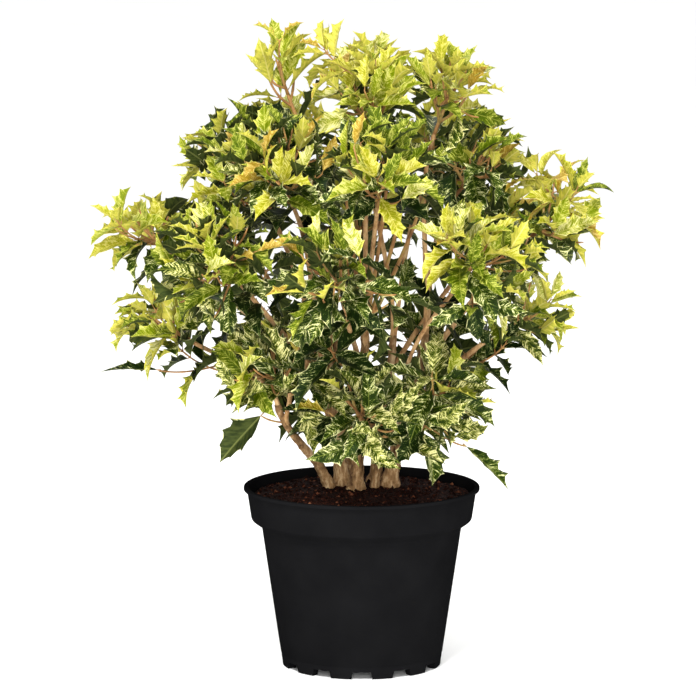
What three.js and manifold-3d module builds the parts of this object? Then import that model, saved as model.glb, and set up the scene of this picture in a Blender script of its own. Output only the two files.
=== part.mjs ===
// A goshiki holly osmanthus in a black nursery pot: the pot, its potting mix, seven stems that rise
// from the mix, one bough for each mass of foliage, and the masses of spiny leaves in opposite pairs.
// Millimetres, +Z up, and the front faces -Y. The plant is built round the middle of the pot's
// underside. The crown reaches further to the left, so the frame's origin is under its middle.
import * as THREE from "three";
import { mergeVertices } from "three/addons/utils/BufferGeometryUtils.js";
import Module from "manifold-3d";

const wasm = await Module();
wasm.setup();

// The pot: a 23 cm, 5 litre nursery pot, whose rim is the scale for the whole plant.
const RIM_RADIUS = 115;
const POT_HEIGHT = 176;
const WALL = 2;
const LIP_HEIGHT = 3.4;
const LIP_OUT = 3.2;
const BAND_HEIGHT = 32;
const BAND_INSET = 7;
const SHOULDER_HEIGHT = 7;
const SHOULDER_INSET = 17.5;
const BAND_STEP = 0.5;
const BAND_DRAFT = 1.2;
const FOOT_RADIUS = 77.5;
const FOOT_HEIGHT = 7.5;
const FOOT_DEPTH = 9;
const FOOT_DRAFT = 1.5;
const BODY_FROM = 4;
const NOTCH_DROP = 0.4;
const FOOT_COUNT = 12;
const POT_SIDES = 32;
const SOIL_DROP = 3;
const SOIL_LEVEL = POT_HEIGHT - SOIL_DROP;
const SOIL_FALL = 6;
const SOIL_LEVEL_RADIUS = 54;
const SOIL_EDGE_RADIUS = 105.1;

// The clearance between pieces that touch.
const GAP = 0.35;

// The crown's middle line leans to the left of the pot's, and its longest shoots reach still further.
const CROWN_X = -4;
const REACH_MIDDLE_X = -16;

// Tiers of foliage masses. Azimuths are degrees from the front, positive to the right. A mass leans
// outward by its own share, its shoots spread by an angle, and it is as tall as its share of its width.
const TIERS = [
  {
    name: "top",
    height: 550,
    reach: 62,
    size: 52,
    outward: 0.35,
    spread: 0.6,
    tall: 1.15,
    azimuths: { left: -96, front: 16, right: 80, back: 170 },
  },
  {
    name: "upper",
    height: 484,
    reach: 114,
    size: 60,
    outward: 0.7,
    spread: 0.75,
    tall: 1,
    azimuths: { left: -92, front_left: -40, front: 10, right: 86, back_right: 138, back_left: -146 },
  },
  {
    name: "middle",
    height: 406,
    reach: 170,
    size: 63,
    outward: 1,
    spread: 0.9,
    tall: 0.92,
    azimuths: {
      left: -90,
      front_left: -47,
      front: -5,
      front_right: 38,
      right: 86,
      back_right: 132,
      back: 178,
      back_left: -137,
    },
  },
  {
    name: "lower",
    height: 292,
    reach: 116,
    size: 58,
    outward: 1.5,
    spread: 1.05,
    tall: 0.92,
    azimuths: {
      left: -80,
      front_left: -46,
      front: 2,
      front_right: 48,
      right: 84,
      back_right: 142,
      back_left: -142,
    },
  },
];

// Where single masses reach further, sit higher or lower, or are slimmer or flatter than their tier.
const OWN_SIZES = {
  top_left: { height: 560, reach: 68, size: 41, tall: 1.4 },
  top_front: { height: 544, reach: 48 },
  top_right: { height: 547, reach: 84, size: 50 },
  top_back: { height: 542, reach: 66 },
  upper_left: { height: 488, reach: 114, size: 54 },
  upper_front: { reach: 124 },
  upper_right: { height: 480, reach: 108, size: 55 },
  middle_left: { height: 418, reach: 196, size: 53, tall: 0.76 },
  middle_front: { height: 396 },
  middle_right: { height: 434, reach: 180, size: 51, tall: 0.86 },
  lower_left: { height: 336, reach: 184, size: 51, tall: 0.76 },
  lower_front_left: { height: 298, size: 53 },
  lower_front: { height: 262, reach: 100 },
  lower_front_right: { height: 270, reach: 92, size: 53 },
  lower_right: { height: 341, reach: 156, size: 49, tall: 0.8 },
};

// The stems: where each stands on the mix, where it ends, its thickness, and the masses whose boughs
// it carries, each with the share of the stem's length at which the bough leaves it.
const STEMS = {
  stem_left_low: {
    foot: { x: -31, y: 9 },
    tip: { azimuth: -64, reach: 90, height: 262 },
    radii: [4.6, 3.1],
    carries: { lower_left: 1, lower_front_left: 0.78 },
  },
  stem_mid_left: {
    foot: { x: -18, y: 20 },
    tip: { azimuth: -84, reach: 44, height: 330 },
    radii: [6.8, 4],
    carries: {
      top_left: 1,
      upper_left: 0.9,
      upper_front_left: 0.78,
      middle_left: 0.66,
      middle_front_left: 0.54,
    },
  },
  stem_middle: {
    foot: { x: -5, y: -2 },
    tip: { azimuth: 10, reach: 20, height: 338 },
    radii: [6.2, 3.8],
    carries: { top_front: 1, upper_front: 0.86, middle_front: 0.62, lower_front: 0.4 },
  },
  stem_right_thin: {
    foot: { x: 12, y: 3 },
    tip: { azimuth: 42, reach: 60, height: 282 },
    radii: [3.4, 2.7],
    carries: { middle_front_right: 1, lower_front_right: 0.72 },
  },
  stem_right: {
    foot: { x: 27, y: 14 },
    tip: { azimuth: 84, reach: 62, height: 326 },
    radii: [7, 4],
    carries: { top_right: 1, upper_right: 0.86, middle_right: 0.7, lower_right: 0.48 },
  },
  stem_back_right: {
    foot: { x: 13, y: 37 },
    tip: { azimuth: 150, reach: 62, height: 316 },
    radii: [5.6, 3.6],
    carries: { top_back: 1, upper_back_right: 0.86, middle_back_right: 0.7, lower_back_right: 0.46 },
  },
  stem_back_left: {
    foot: { x: -11, y: 42 },
    tip: { azimuth: -152, reach: 64, height: 312 },
    radii: [5.6, 3.6],
    carries: { upper_back_left: 1, middle_back: 0.84, middle_back_left: 0.68, lower_back_left: 0.44 },
  },
};

// A stem flares to its flat foot, and leans more from its low third than from its high one.
const FLARE_HEIGHT = 16;
const FLARE = 0.55;
const FOOT_CUT = 40;
const STEM_SIDES = 7;
const STEM_RINGS = 5;
const LOW_LEAN = 0.55;
const HIGH_LEAN = 0.35;

// Boughs: how each leaves its stem, thins towards its mass and enters it from below.
const BOUGH_TIP_RADIUS = 2;
const BOUGH_SIDES = 5;
const BOUGH_RINGS = 4;
const BOUGH_SHARE_OF_STEM = 0.66;
const BOUGH_TAPER = 0.8;
const BOUGH_TURN = 0.6;
const LEAVE_SHARE = 0.32;
const ENTER_SHARE = 0.3;
const ENTRY = 0.5;

// Shoots: side shoots leave the leading one between two shares of its length, and spread round it.
const SIDE_SHOOTS = 4;
const SHOOT_RADII = [1.5, 1.4];
const SHOOT_REACH = 0.56;
const BRANCH_HIGH = 0.52;
const BRANCH_RANGE = 0.42;
const LEAST_SPREAD = 0.75;
const SPREAD_STEP = 0.618;
const ROUND_JITTER = 0.4;
const REACH_LEAST = 0.84;
const REACH_JITTER = 0.32;

// Leaves: opposite pairs below each shoot's tip, each folded along its midrib and bent back.
const LEAF_LENGTH = 64;
const LEAF_WIDTH = 0.555;
const LEAF_THICKNESS = 0.02;
const LEAF_HALF_OUTLINE = [
  { forward: 0.46, side: 1, fold: 1 },
  { forward: 0.68, side: 0.62, fold: 0.6 },
];
const LEAF_MIDDLE = 0.5;

// The pairs: how far each lies below the shoot's tip, how far it opens, and its share of the length.
const PAIRS = [
  { down: 3, angle: 38, length: 0.84 },
  { down: 17, angle: 60, length: 1 },
  { down: 46, angle: 70, length: 1 },
];
const LOWEST_PAIR = 0.1;
const TURN_JITTER = 0.2;
const ANGLE_JITTER = 16;
const LENGTH_LEAST = 0.9;
const LENGTH_JITTER = 0.2;
const CURL = { least: 0.1, jitter: 0.12 };
const FOLD = { least: 0.07, jitter: 0.05 };
const LIGHT_PULL = 0.25;

// The other turns, spreads and scales that are tried where a leaf doesn't fit.
const LEAF_TRIES = [
  {},
  { turn: 0.4 },
  { turn: -0.4 },
  { spread: 0.3 },
  { spread: -0.3 },
  { scale: 0.86 },
  { scale: 0.86, turn: 0.6 },
  { scale: 0.86, turn: -0.6 },
];
// A leaf's root sinks into its shoot. From this far along it the leaf is free of all else.
const LEAF_FREE_FROM = 6;
// How far leaves may reach from their mass's middle, in its sizes.
const LEAF_REACH = 1.34;

// Each mass draws its shoots and its leaves from series of its own.
const SHOOT_SEED = 7919;
const LEAF_SEED = 104729;

const UP = new THREE.Vector3(0, 0, 1);
const OFF_UP = new THREE.Vector3(0.31, 0.17, 1);
const GOLDEN_ANGLE = Math.PI * (3 - Math.sqrt(5));
const radians = THREE.MathUtils.degToRad;
const vector = (x, y, z) => new THREE.Vector3(x, y, z);

// A seeded series of numbers from 0 to 1, so that the plant is the same each time.
function series(seed) {
  let state = seed >>> 0;
  return () => {
    state = (state + 0x6d2b79f5) >>> 0;
    let t = Math.imul(state ^ (state >>> 15), state | 1);
    t = (t + Math.imul(t ^ (t >>> 7), t | 61)) ^ t;
    return ((t ^ (t >>> 14)) >>> 0) / 4294967296;
  };
}

// A point given by its azimuth from the front, its reach from the middle line, and its height.
function place({ azimuth, reach }, height, middle = 0) {
  const turn = radians(azimuth);
  return vector(middle + reach * Math.sin(turn), -reach * Math.cos(turn), height);
}

// Solids: a closed three.js geometry becomes one that can be joined and cut, and back.
function solidOf(geometry) {
  const bare = geometry.clone();
  bare.deleteAttribute("normal");
  bare.deleteAttribute("uv");
  const merged = mergeVertices(bare, 1e-4);
  return new wasm.Manifold(
    new wasm.Mesh({
      numProp: 3,
      vertProperties: merged.attributes.position.array,
      triVerts: new Uint32Array(merged.index.array),
    }),
  );
}

function solidFrom(points, faces) {
  const positions = new Float32Array(points.flatMap((p) => p.toArray()));
  const geometry = new THREE.BufferGeometry()
    .setAttribute("position", new THREE.BufferAttribute(positions, 3))
    .setIndex(faces.flat());
  return solidOf(geometry);
}

function geometryOf(solid) {
  const mesh = solid.getMesh();
  return new THREE.BufferGeometry()
    .setAttribute("position", new THREE.BufferAttribute(Float32Array.from(mesh.vertProperties), 3))
    .setIndex(new THREE.BufferAttribute(Uint32Array.from(mesh.triVerts), 1));
}

function largestBody(solid) {
  return solid.decompose().reduce((a, b) => (a.volume() >= b.volume() ? a : b));
}

// A round limb: rings of points carried along a curve, with the radius at each share of it. It can be
// grown all round and at its ends, for the space that other pieces leave it.
function limbSolid(curve, radiusAt, sides, rings, growth = 0, roll = 0) {
  const { tangents, normals, binormals } = curve.computeFrenetFrames(rings);
  const points = curve.getSpacedPoints(rings).flatMap((middle, ring) => {
    const radius = radiusAt(ring / rings) + growth;
    const past = ring === 0 ? -growth : ring === rings ? growth : 0;
    return Array.from({ length: sides }, (_, i) => {
      const turn = roll + (i * 2 * Math.PI) / sides;
      return middle
        .clone()
        .addScaledVector(tangents[ring], past)
        .addScaledVector(normals[ring], radius * Math.cos(turn))
        .addScaledVector(binormals[ring], radius * Math.sin(turn));
    });
  });
  const faces = [];
  for (let ring = 0; ring < rings; ring++) {
    for (let i = 0; i < sides; i++) {
      const a = ring * sides + i;
      const b = ring * sides + ((i + 1) % sides);
      faces.push([a, b, b + sides], [a, b + sides, a + sides]);
    }
  }
  for (let i = 1; i < sides - 1; i++) {
    faces.push([0, i + 1, i], [rings * sides, rings * sides + i, rings * sides + i + 1]);
  }
  return solidFrom(points, faces);
}

// The pot: a turned profile with a lip, a band, a shoulder and a foot ring that is notched into feet.
function potSolid() {
  const top = POT_HEIGHT;
  const band = top - BAND_HEIGHT;
  const shoulder = band - SHOULDER_HEIGHT;
  const bandRadius = RIM_RADIUS - BAND_INSET;
  const bodyRadius = RIM_RADIUS - SHOULDER_INSET;
  const profile = [
    [0, FOOT_HEIGHT],
    [FOOT_RADIUS - FOOT_DEPTH, FOOT_HEIGHT],
    [FOOT_RADIUS - FOOT_DEPTH, 0],
    [FOOT_RADIUS, 0],
    [FOOT_RADIUS + FOOT_DRAFT, FOOT_HEIGHT + BODY_FROM],
    [bodyRadius, shoulder],
    [bandRadius - BAND_STEP, band],
    [RIM_RADIUS - LIP_OUT, top - LIP_HEIGHT],
    [RIM_RADIUS, top - LIP_HEIGHT],
    [RIM_RADIUS, top],
    [RIM_RADIUS - LIP_OUT - WALL, top],
    [bandRadius - WALL - BAND_DRAFT, band],
    [bodyRadius - WALL, shoulder],
    [FOOT_RADIUS - BAND_STEP * 2, FOOT_HEIGHT + WALL],
    [0, FOOT_HEIGHT + WALL],
  ].map(([r, z]) => new THREE.Vector2(r, z));
  const turned = solidOf(new THREE.LatheGeometry(profile, POT_SIDES).rotateX(Math.PI / 2));
  const notchWidth = (2 * Math.PI * FOOT_RADIUS) / (2 * FOOT_COUNT);
  const notches = Array.from({ length: FOOT_COUNT }, (_, i) => {
    const notch = new THREE.BoxGeometry(FOOT_DEPTH * 3, notchWidth, 2 * (FOOT_HEIGHT - NOTCH_DROP));
    notch.translate(FOOT_RADIUS, 0, 0).rotateZ((i * 2 * Math.PI) / FOOT_COUNT - Math.PI / 2);
    return solidOf(notch);
  });
  return notches.reduce((pot, notch) => pot.subtract(notch), turned);
}

// The potting mix fills the pot from its floor to a level middle, and falls a little towards the wall.
function soilSolid() {
  const clear = WALL + GAP;
  const band = POT_HEIGHT - BAND_HEIGHT;
  const profile = [
    [0, FOOT_HEIGHT + clear],
    [FOOT_RADIUS - WALL, FOOT_HEIGHT + clear],
    [RIM_RADIUS - SHOULDER_INSET - clear, band - SHOULDER_HEIGHT + GAP],
    [RIM_RADIUS - BAND_INSET - BAND_DRAFT - clear, band + GAP],
    [SOIL_EDGE_RADIUS, SOIL_LEVEL - SOIL_FALL],
    [SOIL_LEVEL_RADIUS, SOIL_LEVEL],
    [0, SOIL_LEVEL],
  ].map(([r, z]) => new THREE.Vector2(r, z));
  return solidOf(new THREE.LatheGeometry(profile, POT_SIDES).rotateX(Math.PI / 2));
}

// The masses' spaces. Each is an ellipsoid, and two that meet are parted by the plane of equal power.
const masses = {};
TIERS.forEach((tier) => {
  Object.entries(tier.azimuths).forEach(([side, azimuth]) => {
    const name = `${tier.name}_${side}`;
    const { height, reach, size, spread, tall } = { ...tier, ...OWN_SIZES[name] };
    const centre = place({ azimuth, reach }, height, CROWN_X);
    const out = place({ azimuth, reach: tier.outward }, 0);
    const axis = out.add(UP).normalize();
    const seed = Object.keys(masses).length + 1;
    masses[name] = { name, centre, size, axis, spread, tall, seed };
  });
});
const allMasses = Object.values(masses);

const power = (mass, p) => p.distanceToSquared(mass.centre) - mass.size ** 2;

function inOwnSpace(mass, p, reach = LEAF_REACH) {
  const off = p.clone().sub(mass.centre);
  off.z /= mass.tall;
  if (off.length() > mass.size * reach) return false;
  const mine = power(mass, p);
  return allMasses.every((other) => {
    if (other === mass) return true;
    const apart = 2 * mass.centre.distanceTo(other.centre);
    return (power(other, p) - mine) / apart > 2 * GAP;
  });
}

// The stems, with a flat foot on the mix, a root flare and a lean.
function stemCurve({ foot, tip }) {
  const a = vector(foot.x, foot.y, SOIL_LEVEL + GAP);
  const b = place(tip, tip.height);
  const rise = (b.z - a.z) / 3;
  const start = a.clone().add(vector(0, 0, rise)).lerp(a.clone().lerp(b, 1 / 3), LOW_LEAN);
  const end = b.clone().sub(vector(0, 0, rise)).lerp(a.clone().lerp(b, 2 / 3), HIGH_LEAN);
  return new THREE.CubicBezierCurve3(a, start, end, b);
}

function stemRadius({ radii }, curve, share) {
  const height = share * curve.getLength();
  const flare = 1 + FLARE * Math.exp(-height / (FLARE_HEIGHT / 2));
  return (radii[0] + (radii[1] - radii[0]) * share) * flare;
}

// A bough: it leaves its stem at a share of the stem's length and enters its mass from below.
function boughCurve(stem, share, mass) {
  const from = stem.curve.getPointAt(share);
  const along = stem.curve.getTangentAt(share);
  const to = mass.centre.clone().addScaledVector(mass.axis, -ENTRY * mass.size * mass.tall);
  const span = from.distanceTo(to);
  const towards = to.clone().sub(from).normalize();
  const leave = share < 1 ? along.lerp(towards, BOUGH_TURN) : along;
  return new THREE.CubicBezierCurve3(
    from,
    from.clone().addScaledVector(leave.normalize(), LEAVE_SHARE * span),
    to.clone().addScaledVector(mass.axis, -ENTER_SHARE * span),
    to,
  );
}

const limbs = [];
function addLimb(name, curve, radiusAt, sides, rings, carrier) {
  const cut = limbs.filter((limb) => limb === carrier || (carrier && limb.carrier === carrier));
  const whole = limbSolid(curve, radiusAt, sides, rings);
  const solid = cut.reduce((made, limb) => made.subtract(limb.space), whole);
  const space = limbSolid(curve, radiusAt, sides, rings, GAP / Math.cos(Math.PI / sides));
  const limb = { name, curve, carrier, space, solid: largestBody(solid), radiusAt };
  limbs.push(limb);
  return limb;
}

Object.entries(STEMS).forEach(([name, stem]) => {
  const curve = stemCurve(stem);
  const made = addLimb(name, curve, (t) => stemRadius(stem, curve, t), STEM_SIDES, STEM_RINGS);
  const under = new THREE.BoxGeometry(FOOT_CUT, FOOT_CUT, FOOT_CUT);
  under.translate(stem.foot.x, stem.foot.y, SOIL_LEVEL + GAP - FOOT_CUT / 2);
  made.solid = made.solid.subtract(solidOf(under));
  stem.limb = made;
});

Object.values(STEMS).forEach((stem) => {
  Object.entries(stem.carries).forEach(([massName, share]) => {
    const mass = masses[massName];
    const curve = boughCurve(stem.limb, share, mass);
    const foot = stem.limb.radiusAt(share) * BOUGH_SHARE_OF_STEM;
    const radiusAt = (t) => foot + (BOUGH_TIP_RADIUS - foot) * t ** BOUGH_TAPER;
    mass.bough = addLimb(`bough_${massName}`, curve, radiusAt, BOUGH_SIDES, BOUGH_RINGS, stem.limb);
  });
});

// A leaf: two faces folded up along the midrib and bent back at the tip, with a spine on each margin.
function leafSolid({ root, along, face, length, curl, fold }) {
  const across = vector().crossVectors(along, face).normalize();
  const half = (length * LEAF_WIDTH) / 2;
  const thick = length * LEAF_THICKNESS;
  const at = (forward, side, lift) =>
    root
      .clone()
      .addScaledVector(along, forward * length)
      .addScaledVector(across, side * half)
      .addScaledVector(face, lift * length - curl * length * forward * forward);
  const [wide, spine] = LEAF_HALF_OUTLINE;
  const points = [
    at(0, 0, 0),
    at(wide.forward, wide.side, fold * wide.fold),
    at(spine.forward, spine.side, fold * spine.fold),
    at(1, 0, 0),
    at(spine.forward, -spine.side, fold * spine.fold),
    at(wide.forward, -wide.side, fold * wide.fold),
    at(LEAF_MIDDLE, 0, thick / 2 / length),
    at(LEAF_MIDDLE, 0, -thick / 2 / length),
  ];
  const [above, below] = [6, 7];
  const faces = Array.from({ length: 6 }, (_, i) => [i, (i + 1) % 6]).flatMap(([a, b]) => [
    [a, b, above],
    [b, a, below],
  ]);
  return { points, solid: solidFrom(points, faces) };
}

// The shoots of a mass: its own stem, which runs on along the mass's axis as the leading shoot, and
// side shoots that leave it one above the other, spread round it by the golden angle.
function shootsOf(mass) {
  const random = series(mass.seed * SHOOT_SEED);
  const foot = mass.bough.curve.getPointAt(1).addScaledVector(mass.axis, GAP);
  const head = mass.centre.clone().addScaledVector(mass.axis, SHOOT_REACH * mass.size * mass.tall);
  const leader = new THREE.LineCurve3(foot, head);
  const side = vector().crossVectors(mass.axis, OFF_UP).normalize();
  const other = vector().crossVectors(mass.axis, side);
  const turn = random() * 2 * Math.PI;
  const sideShoots = Array.from({ length: SIDE_SHOOTS }, (_, i) => {
    const polar = mass.spread * (LEAST_SPREAD + (((i + 1) * SPREAD_STEP) % 1));
    const round = turn + (i + 1) * GOLDEN_ANGLE + ROUND_JITTER * random();
    const way = mass.axis
      .clone()
      .multiplyScalar(Math.cos(polar))
      .addScaledVector(side, Math.sin(polar) * Math.cos(round))
      .addScaledVector(other, Math.sin(polar) * Math.sin(round));
    const reach = SHOOT_REACH * (REACH_LEAST + REACH_JITTER * random());
    way.z *= mass.tall;
    const tip = mass.centre.clone().addScaledVector(way, reach * mass.size);
    const from = leader.getPointAt(BRANCH_HIGH - (BRANCH_RANGE * i) / SIDE_SHOOTS);
    return { curve: new THREE.LineCurve3(from, tip), roll: 2 * Math.PI * random() };
  });
  return [{ curve: leader, roll: Math.PI / 4, leads: true }, ...sideShoots];
}

// A shoot as a solid. The leading one starts as thick as the bough's tip.
function shootSolid({ curve, roll, leads }) {
  const foot = leads ? BOUGH_TIP_RADIUS : SHOOT_RADII[0];
  const radiusAt = (t) => foot + (SHOOT_RADII[1] - foot) * t;
  return limbSolid(curve, radiusAt, leads ? 4 : 3, 1, 0, leads ? 0 : roll);
}

// The places of a shoot's leaves: opposite pairs, each turned a quarter from the pair above it.
function leafPlaces({ curve, roll }, random) {
  const length = curve.getLength();
  const side = curve.computeFrenetFrames(1).normals[0];
  return PAIRS.flatMap((pair, k) => {
    const share = 1 - pair.down / length;
    if (share < LOWEST_PAIR) return [];
    const axis = curve.getTangentAt(share);
    const other = vector().crossVectors(axis, side);
    const root = curve.getPointAt(share);
    return [0, Math.PI].map((half) => ({
      root,
      axis,
      side,
      other,
      turn: roll + (k * Math.PI) / 2 + half + TURN_JITTER * (random() - 0.5),
      spread: radians(pair.angle + ANGLE_JITTER * (random() - 0.5)),
      length: LEAF_LENGTH * pair.length * (LENGTH_LEAST + LENGTH_JITTER * random()),
      curl: CURL.least + CURL.jitter * random(),
      fold: FOLD.least + FOLD.jitter * random(),
    }));
  });
}

// The leaf at a place, turned about its shoot, spread from it and scaled as asked.
function leafAt(leaf, { turn = 0, spread = 0, scale = 1 }) {
  const round = leaf.turn + turn;
  const open = leaf.spread + spread;
  const radial = leaf.side.clone().multiplyScalar(Math.cos(round));
  radial.addScaledVector(leaf.other, Math.sin(round));
  const along = leaf.axis.clone().multiplyScalar(Math.cos(open));
  along.addScaledVector(radial, Math.sin(open));
  const face = leaf.axis.clone().addScaledVector(along, -leaf.axis.dot(along)).lerp(UP, LIGHT_PULL);
  face.addScaledVector(along, -face.dot(along)).normalize();
  return { ...leaf, along, face, length: leaf.length * scale };
}

// A leaf that would leave its mass's space, or touch a limb or another leaf, is tried in other turns
// and smaller, and then skipped.
function fittingLeaf(place, mass, made) {
  for (const change of LEAF_TRIES) {
    const leaf = leafAt(place, change);
    const tried = leafSolid(leaf);
    const inside = tried.points.slice(1).every((p) => inOwnSpace(mass, p));
    if (!inside || !tried.solid.intersect(limbSpace).isEmpty()) continue;
    const root = leaf.root.clone().addScaledVector(leaf.along, LEAF_FREE_FROM);
    const blade = leafSolid({ ...leaf, root, length: leaf.length - LEAF_FREE_FROM });
    if (blade.solid.intersect(made).isEmpty()) return tried.solid;
  }
  return null;
}

const limbSpace = wasm.Manifold.union(limbs.map((limb) => limb.space));

function massSolid(mass) {
  const random = series(mass.seed * LEAF_SEED);
  const [leader, ...sideShoots] = shootsOf(mass);
  const fitting = sideShoots.filter((shoot) => {
    const inside = shoot.curve.getSpacedPoints(4).every((p) => inOwnSpace(mass, p, 1));
    return inside && shootSolid(shoot).intersect(limbSpace).isEmpty();
  });
  const shoots = [leader, ...fitting];
  let made = wasm.Manifold.union(shoots.map(shootSolid));
  const places = shoots.flatMap((shoot) => leafPlaces(shoot, random));
  places.forEach((leaf) => {
    const solid = fittingLeaf(leaf, mass, made);
    if (solid) made = made.add(solid);
  });
  return largestBody(made);
}

// The colours and finishes.
const finish = (color, roughness) => new THREE.MeshStandardMaterial({ color, roughness, metalness: 0 });
const POT_PLASTIC = finish(0x1c1c1c, 0.45);
const POTTING_MIX = finish(0x2b1b14, 0.95);
const OLD_BARK = finish(0x9c7c58, 0.85);
const YOUNG_BARK = finish(0xa8784c, 0.7);
const LEAF_COLOURS = {
  top: finish(0xb9bb4b, 0.5),
  upper: finish(0x9fae48, 0.5),
  middle: finish(0x6f8a3c, 0.45),
  lower: finish(0x4a6b3a, 0.45),
};

const plant = new THREE.Group();
plant.position.x = -REACH_MIDDLE_X;
function addPiece(name, solid, material) {
  const mesh = new THREE.Mesh(geometryOf(solid), material);
  mesh.name = name;
  plant.add(mesh);
}

addPiece("pot", potSolid(), POT_PLASTIC);
addPiece("potting_mix", soilSolid(), POTTING_MIX);
limbs.forEach((limb) => addPiece(limb.name, limb.solid, limb.carrier ? YOUNG_BARK : OLD_BARK));
allMasses.forEach((mass) => {
  addPiece(`mass_${mass.name}`, massSolid(mass), LEAF_COLOURS[mass.name.split("_")[0]]);
});

export default plant;
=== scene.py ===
import math

import bpy
import numpy as np
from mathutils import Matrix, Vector, noise
from mathutils.bvhtree import BVHTree


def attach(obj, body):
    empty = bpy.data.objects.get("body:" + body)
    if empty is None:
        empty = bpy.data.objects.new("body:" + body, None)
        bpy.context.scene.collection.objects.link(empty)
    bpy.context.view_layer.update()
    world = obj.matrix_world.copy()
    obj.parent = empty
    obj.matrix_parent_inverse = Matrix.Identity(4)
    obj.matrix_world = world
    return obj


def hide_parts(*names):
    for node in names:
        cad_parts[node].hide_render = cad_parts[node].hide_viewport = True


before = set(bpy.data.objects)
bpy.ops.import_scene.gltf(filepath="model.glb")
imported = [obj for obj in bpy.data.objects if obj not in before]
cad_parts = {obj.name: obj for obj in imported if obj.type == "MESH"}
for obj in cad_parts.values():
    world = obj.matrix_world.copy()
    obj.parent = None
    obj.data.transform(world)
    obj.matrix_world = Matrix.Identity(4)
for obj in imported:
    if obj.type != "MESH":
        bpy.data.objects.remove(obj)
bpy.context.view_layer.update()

# A goshiki holly osmanthus in a black nursery pot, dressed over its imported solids. The stems, boughs
# and shoots follow the rule of the solids, in millimetres round the pot's middle, and the shoots are
# carried on to finer ones with life-size leaves. Pieces become metres in the frame when they are made.
MM = 0.001
MIDDLE_X = 16.0

# The view: the photograph's, from a little above the rim, with almost no perspective.
IMAGE_MM = 675.0
CAMERA_DISTANCE = 4.0
CAMERA_RISE = 8.3
CAMERA_AIM = (-13.3, 0.0, 311.3)
SENSOR_MM = 36.0

# The stage, in metres: a pale floor, a white world, and each light's place, side and watts.
FLOOR_HALF = 40.0
FLOOR_COLOURS = [(0.3, (246, 246, 245)), (0.7, (249, 249, 248))]
WORLD_STRENGTH = 1.08
LIGHTS_AIM = (0.0, 0.0, 0.36)
LIGHTS = {
    "key": ((-0.4, -1.7, 2.3), 0.7, 75),
    "front": ((0.1, -2.4, 0.45), 0.8, 38),
    "behind": ((0.4, 1.5, 2.1), 1.0, 20),
}

# The pot: a 23 cm, 5 litre nursery pot. Its wall leans out from the point named last.
RIM_RADIUS = 115.0
POT_HEIGHT = 176.0
WALL = 2.0
LIP_HEIGHT = 3.4
LIP_OUT = 3.2
BAND_HEIGHT = 32.0
BAND_INSET = 7.0
SHOULDER_HEIGHT = 7.0
SHOULDER_INSET = 17.5
FOOT_RADIUS = 77.5
FOOT_HEIGHT = 7.5
FOOT_DEPTH = 9.0
FOOT_COUNT = 12
NOTCH_SPREAD = 1.12
CREASE_HEIGHT = 12.5
POT_SIDES = 144
POT_SHARP_ANGLE = 32.0
ROUNDING_STEPS = 3
WALL_FOOT = (FOOT_RADIUS + 1.5, FOOT_HEIGHT + 4.0)

# The potting mix: level in the middle and lower at the wall. Its waves have their closeness, a seed and
# their height, and its crumbs their least size and what chance adds to it.
SOIL_LEVEL = POT_HEIGHT - 3.0
SOIL_EDGE = SOIL_LEVEL - 6.0
SOIL_LEVEL_RADIUS = 54.0
SOIL_EDGE_RADIUS = 105.6
SOIL_INNER_RADIUS = 1.5
SOIL_SIDES = 160
SOIL_RINGS = 64
SOIL_SHARP_ANGLE = 50.0
SOIL_WAVES = ((0.045, 3.0, 1.6), (0.22, 7.0, 1.3))
CRUMBS = 1500
CRUMBS_SEED = 4021
CRUMB_SIZE = (0.7, 2.1)
CRUMB_OUT = (0.6, 0.8)
CRUMB_WAYS = ((1, 0, 0), (0, 1, 0), (-1, 0, 0), (0, -1, 0), (0, 0, 1), (0, 0, -1))
CRUMB_FACES = ((0, 1, 4), (1, 2, 4), (2, 3, 4), (3, 0, 4), (1, 0, 5), (2, 1, 5), (3, 2, 5), (0, 3, 5))
PALE_CRUMBS = 0.14

# The clearance between solids.
GAP = 0.35

# The tiers of foliage masses, as in the solids. The sizes are the height, reach and size of the masses,
# how far they lean out, how wide their shoots spread, and how tall they are for their width. Azimuths are
# degrees from the front, + to the right.
CROWN_X = -4.0
TIERS = {
    "top": {
        "sizes": (550, 62, 52, 0.35, 0.6, 1.15),
        "azimuths": {"left": -96, "front": 16, "right": 80, "back": 170},
    },
    "upper": {
        "sizes": (484, 114, 60, 0.7, 0.75, 1.0),
        "azimuths": {
            "left": -92, "front_left": -40, "front": 10, "right": 86, "back_right": 138, "back_left": -146,
        },
    },
    "middle": {
        "sizes": (406, 170, 63, 1.0, 0.9, 0.92),
        "azimuths": {
            "left": -90, "front_left": -47, "front": -5, "front_right": 38,
            "right": 86, "back_right": 132, "back": 178, "back_left": -137,
        },
    },
    "lower": {
        "sizes": (292, 116, 58, 1.5, 1.05, 0.92),
        "azimuths": {
            "left": -80, "front_left": -46, "front": 2, "front_right": 48,
            "right": 84, "back_right": 142, "back_left": -142,
        },
    },
}

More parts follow.
